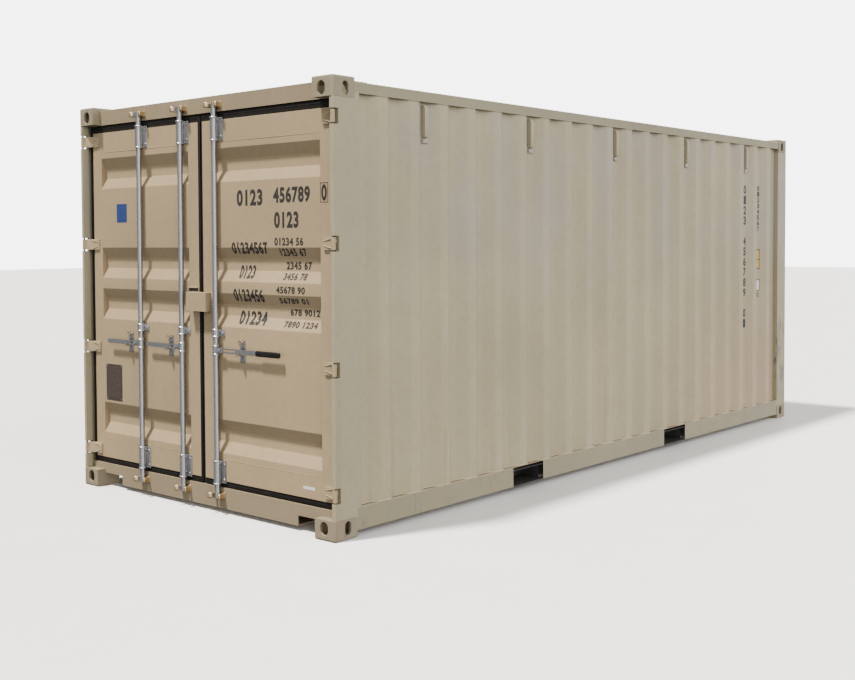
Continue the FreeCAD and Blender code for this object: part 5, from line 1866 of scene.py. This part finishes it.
@dataclass
class Studio:
    """Pale floor, soft light and the camera."""

    camera_at: tuple[float, float, float] = (-7.555, -5.661, 1.675)
    heading: float = 41.98
    dip: float = 2.05
    roll: float = -0.32
    sensor: float = 36.0
    lens: float = 48.602105
    shift: tuple[float, float] = (0.0512281, -0.0676023)
    suns: tuple[Sun, ...] = (
        Sun("key", (0.34, -0.14, -0.87), 9.8, 5.5, (1.0, 0.95, 0.875)),
        Sun("side_fill", (0.05, 1.0, -0.25), 3.6, 75.0, (1.0, 0.985, 0.96)),
        Sun("back_fill", (-1.0, 0.2, -0.2), 2.2, 75.0, (1.0, 0.98, 0.95)))
    zone_heading: float = math.radians(210)
    zone_rise: float = 0.15
    zone_edge: tuple[float, float] = (0.70, 1.0)
    zone_power: tuple[float, float] = (0.36, 1.7)
    sky_colour: Colour = (0.97, 0.985, 1.0)
    backdrop: float = 6.0

    def build(self) -> None:
        """Sets up the camera, the lights, the sky and the floor."""
        self.camera()
        for sun in self.suns:
            self.light(sun)
        self.sky()
        self.floor()

    def camera(self) -> None:
        """Makes the camera and its lens."""
        data = bpy.data.cameras.new("camera")
        made = linked("camera", data)
        heading, dip = math.radians(self.heading), math.radians(self.dip)
        forward = Vector((math.cos(heading) * math.cos(dip), math.sin(heading) * math.cos(dip),
                          -math.sin(dip)))
        right = forward.cross(UP).normalized()
        up = right.cross(forward)
        turn = math.radians(self.roll)
        right, up = (right * math.cos(turn) + up * math.sin(turn),
                     up * math.cos(turn) - right * math.sin(turn))
        made.matrix_world = Matrix((
            (right.x, up.x, -forward.x, self.camera_at[0]), (right.y, up.y, -forward.y, self.camera_at[1]),
            (right.z, up.z, -forward.z, self.camera_at[2]), (0, 0, 0, 1)))
        data.sensor_width = self.sensor
        data.lens = self.lens
        data.shift_x, data.shift_y = self.shift
        data.clip_end = 200
        bpy.context.scene.camera = made

    def light(self, sun: Sun) -> None:
        """Makes one sun."""
        light = bpy.data.lights.new(sun.name, "SUN")
        light.energy, light.angle, light.color = sun.power, math.radians(sun.spread), sun.colour
        made = linked(sun.name, light)
        made.rotation_mode = "QUATERNION"
        made.rotation_quaternion = Vector(sun.travel).to_track_quat("-Z", "Y")

    def sky(self) -> None:
        """A dim even surround with one soft bright zone, white behind the object."""
        world = bpy.data.worlds.new("studio")
        world.use_nodes = True
        tree = world.node_tree
        nodes, links = tree.nodes, tree.links
        even = nodes["Background"]
        place = nodes.new("ShaderNodeTexCoord")
        dot = nodes.new("ShaderNodeVectorMath")
        dot.operation = "DOT_PRODUCT"
        zone = Vector((math.cos(self.zone_heading), math.sin(self.zone_heading), self.zone_rise))
        dot.inputs[1].default_value = zone.normalized()
        links.new(place.outputs["Object"], dot.inputs[0])
        ramp = nodes.new("ShaderNodeMapRange")
        ramp.interpolation_type = "SMOOTHSTEP"
        for number, value in enumerate((*self.zone_edge, *self.zone_power), 1):
            ramp.inputs[number].default_value = value
        links.new(dot.outputs["Value"], ramp.inputs[0])
        even.inputs["Color"].default_value = (*self.sky_colour, 1)
        links.new(ramp.outputs["Result"], even.inputs["Strength"])
        white = nodes.new("ShaderNodeBackground")
        white.inputs["Color"].default_value = (1.0, 1.0, 1.0, 1)
        white.inputs["Strength"].default_value = self.backdrop
        path = nodes.new("ShaderNodeLightPath")
        both = nodes.new("ShaderNodeMixShader")
        links.new(path.outputs["Is Camera Ray"], both.inputs[0])
        links.new(even.outputs[0], both.inputs[1])
        links.new(white.outputs[0], both.inputs[2])
        links.new(both.outputs[0], nodes["World Output"].inputs["Surface"])
        bpy.context.scene.world = world

    def floor(self) -> None:
        """A wide pale floor that throws no light back on the object."""
        shape = bmesh.new()
        bmesh.ops.create_grid(shape, x_segments=1, y_segments=1, size=60)
        finish = Plain("studio_floor", (0.94, 0.935, 0.925), 0.55, mottle=0.02, relief=0.05, scale=2)
        made = piece_from(shape, "studio_floor", [finish.build()])
        made.visible_diffuse = False
        made.visible_glossy = False


def digit_lines() -> dict[str, list[Line]]:
    """The counting digits of the right leaf and the right wall."""
    leaf = [Line("0123", -0.343, -0.573, 1.888, 1.986), Line("456789", -0.665, -0.974, 1.897, 1.992),
            Line("0", -1.064, -1.108, 1.901, 1.995), Line("0123", -0.672, -0.878, 1.752, 1.848),
            Line("01234567", -0.291, -0.611, 1.600, 1.674), Line("0123", -0.336, -0.474, 1.452, 1.534),
            Line("0123456", -0.302, -0.567, 1.313, 1.393), Line("01234", -0.330, -0.573, 1.175, 1.259)]
    small = [("01234 56", -0.673, -0.916, 1.650, 1.698), ("12345 67", -0.707, -0.929, 1.588, 1.635),
             ("2345 67", -0.738, -0.950, 1.510, 1.558), ("3456 78", -0.732, -0.927, 1.449, 1.492),
             ("45678 90", -0.684, -0.926, 1.370, 1.414), ("56789 01", -0.695, -0.936, 1.311, 1.346),
             ("678 9012", -0.768, -1.013, 1.242, 1.283), ("7890 1234", -0.733, -1.010, 1.174, 1.211)]
    wall = [Line("0123 456789 01", 2.206, 2.258, 0.870, 2.150, stacked=True),
            Line("01234567", 2.482, 2.532, 1.734, 2.152, stacked=True),
            Line("0123", 2.484, 2.534, 1.146, 1.188)]
    return {"right_door_panel": leaf + [Line(*row) for row in small], "right_side_wall": wall}


def wall_plates(finishes: Finishes, wall: FlutedSheet) -> None:
    """The right wall's blank plates: two yellow ones on a dark one, and a framed white one.

    Args:
        finishes: the container's finishes.
        wall: the right wall's sheet.
    """
    borders = ((2.470, 2.546, 1.400, 1.580), (2.474, 2.546, 1.298, 1.306), (2.474, 2.546, 1.204, 1.212),
               (2.474, 2.481, 1.204, 1.306), (2.539, 2.546, 1.204, 1.306))
    yellow = ((2.479, 2.537, 1.410, 1.486), (2.479, 2.537, 1.494, 1.570))
    white = ((2.481, 2.539, 1.212, 1.298),)
    Markings(finishes.stencil, wall, (), 0, blocks=borders).build("wall_plate_borders")
    Markings(finishes.yellow, wall, (), 0, lift=0.0010, blocks=yellow).build("yellow_plates")
    Markings(finishes.label, wall, (), 0, blocks=white).build("white_plate")


def main() -> None:
    """Builds the container's looks around the frame."""
    logging.basicConfig(level=logging.INFO, format="%(name)s: %(message)s")
    finishes = Finishes.make()
    bolts, domes = Fasteners(Head.HEX, finishes.bright_zinc), Fasteners(Head.DOME, finishes.zinc)
    welds, plate_welds = WeldBeads(finishes.frame), WeldBeads(finishes.door)
    SteelFrame(finishes).build()
    sheets: dict[str, FlutedSheet] = {}
    for side in Side:
        wall, panel = side.word + "_side_wall", side.word + "_door_panel"
        sheets[wall] = FlutedSheet(wall, finishes.wall, 0, 1, side.value, seed=1.0 + side.value)
        sheets[panel] = FlutedSheet(panel, finishes.door, 2, 0, -1, bend=0.012, rows=16, dent=0.0012,
                                    seed=3.0 + side.value)
    sheets["front_wall"] = FlutedSheet("front_wall", finishes.wall, 1, 0, 1, bend=0.010, seed=5.0)
    for sheet in sheets.values():
        sheet.build()
    Leaves(finishes, plate_welds).build()
    DoorSeals(finishes, domes).build()
    Hinges(finishes, Fasteners(Head.DOME, finishes.pin)).build()
    LockingGear(finishes, bolts, domes).build()
    LockBox(finishes).build()
    Vents(finishes, domes).build()
    Deck(finishes, Fasteners(Head.FLAT, finishes.steel)).build()
    WallWelds(welds, WeldBeads(finishes.seal)).build(sheets)
    for node, lines in digit_lines().items():
        Markings(finishes.stencil, sheets[node], lines, 1 if "door" in node else 0).build(
            node + "_digits", (2,) if "door" in node else ())
    Plates(finishes, sheets, domes).build()
    wall_plates(finishes, sheets["right_side_wall"])
    Scuffs(finishes.stencil).build()
    LashingRings(finishes).build()
    Studio().build()


if __name__ == "__main__":
    main()
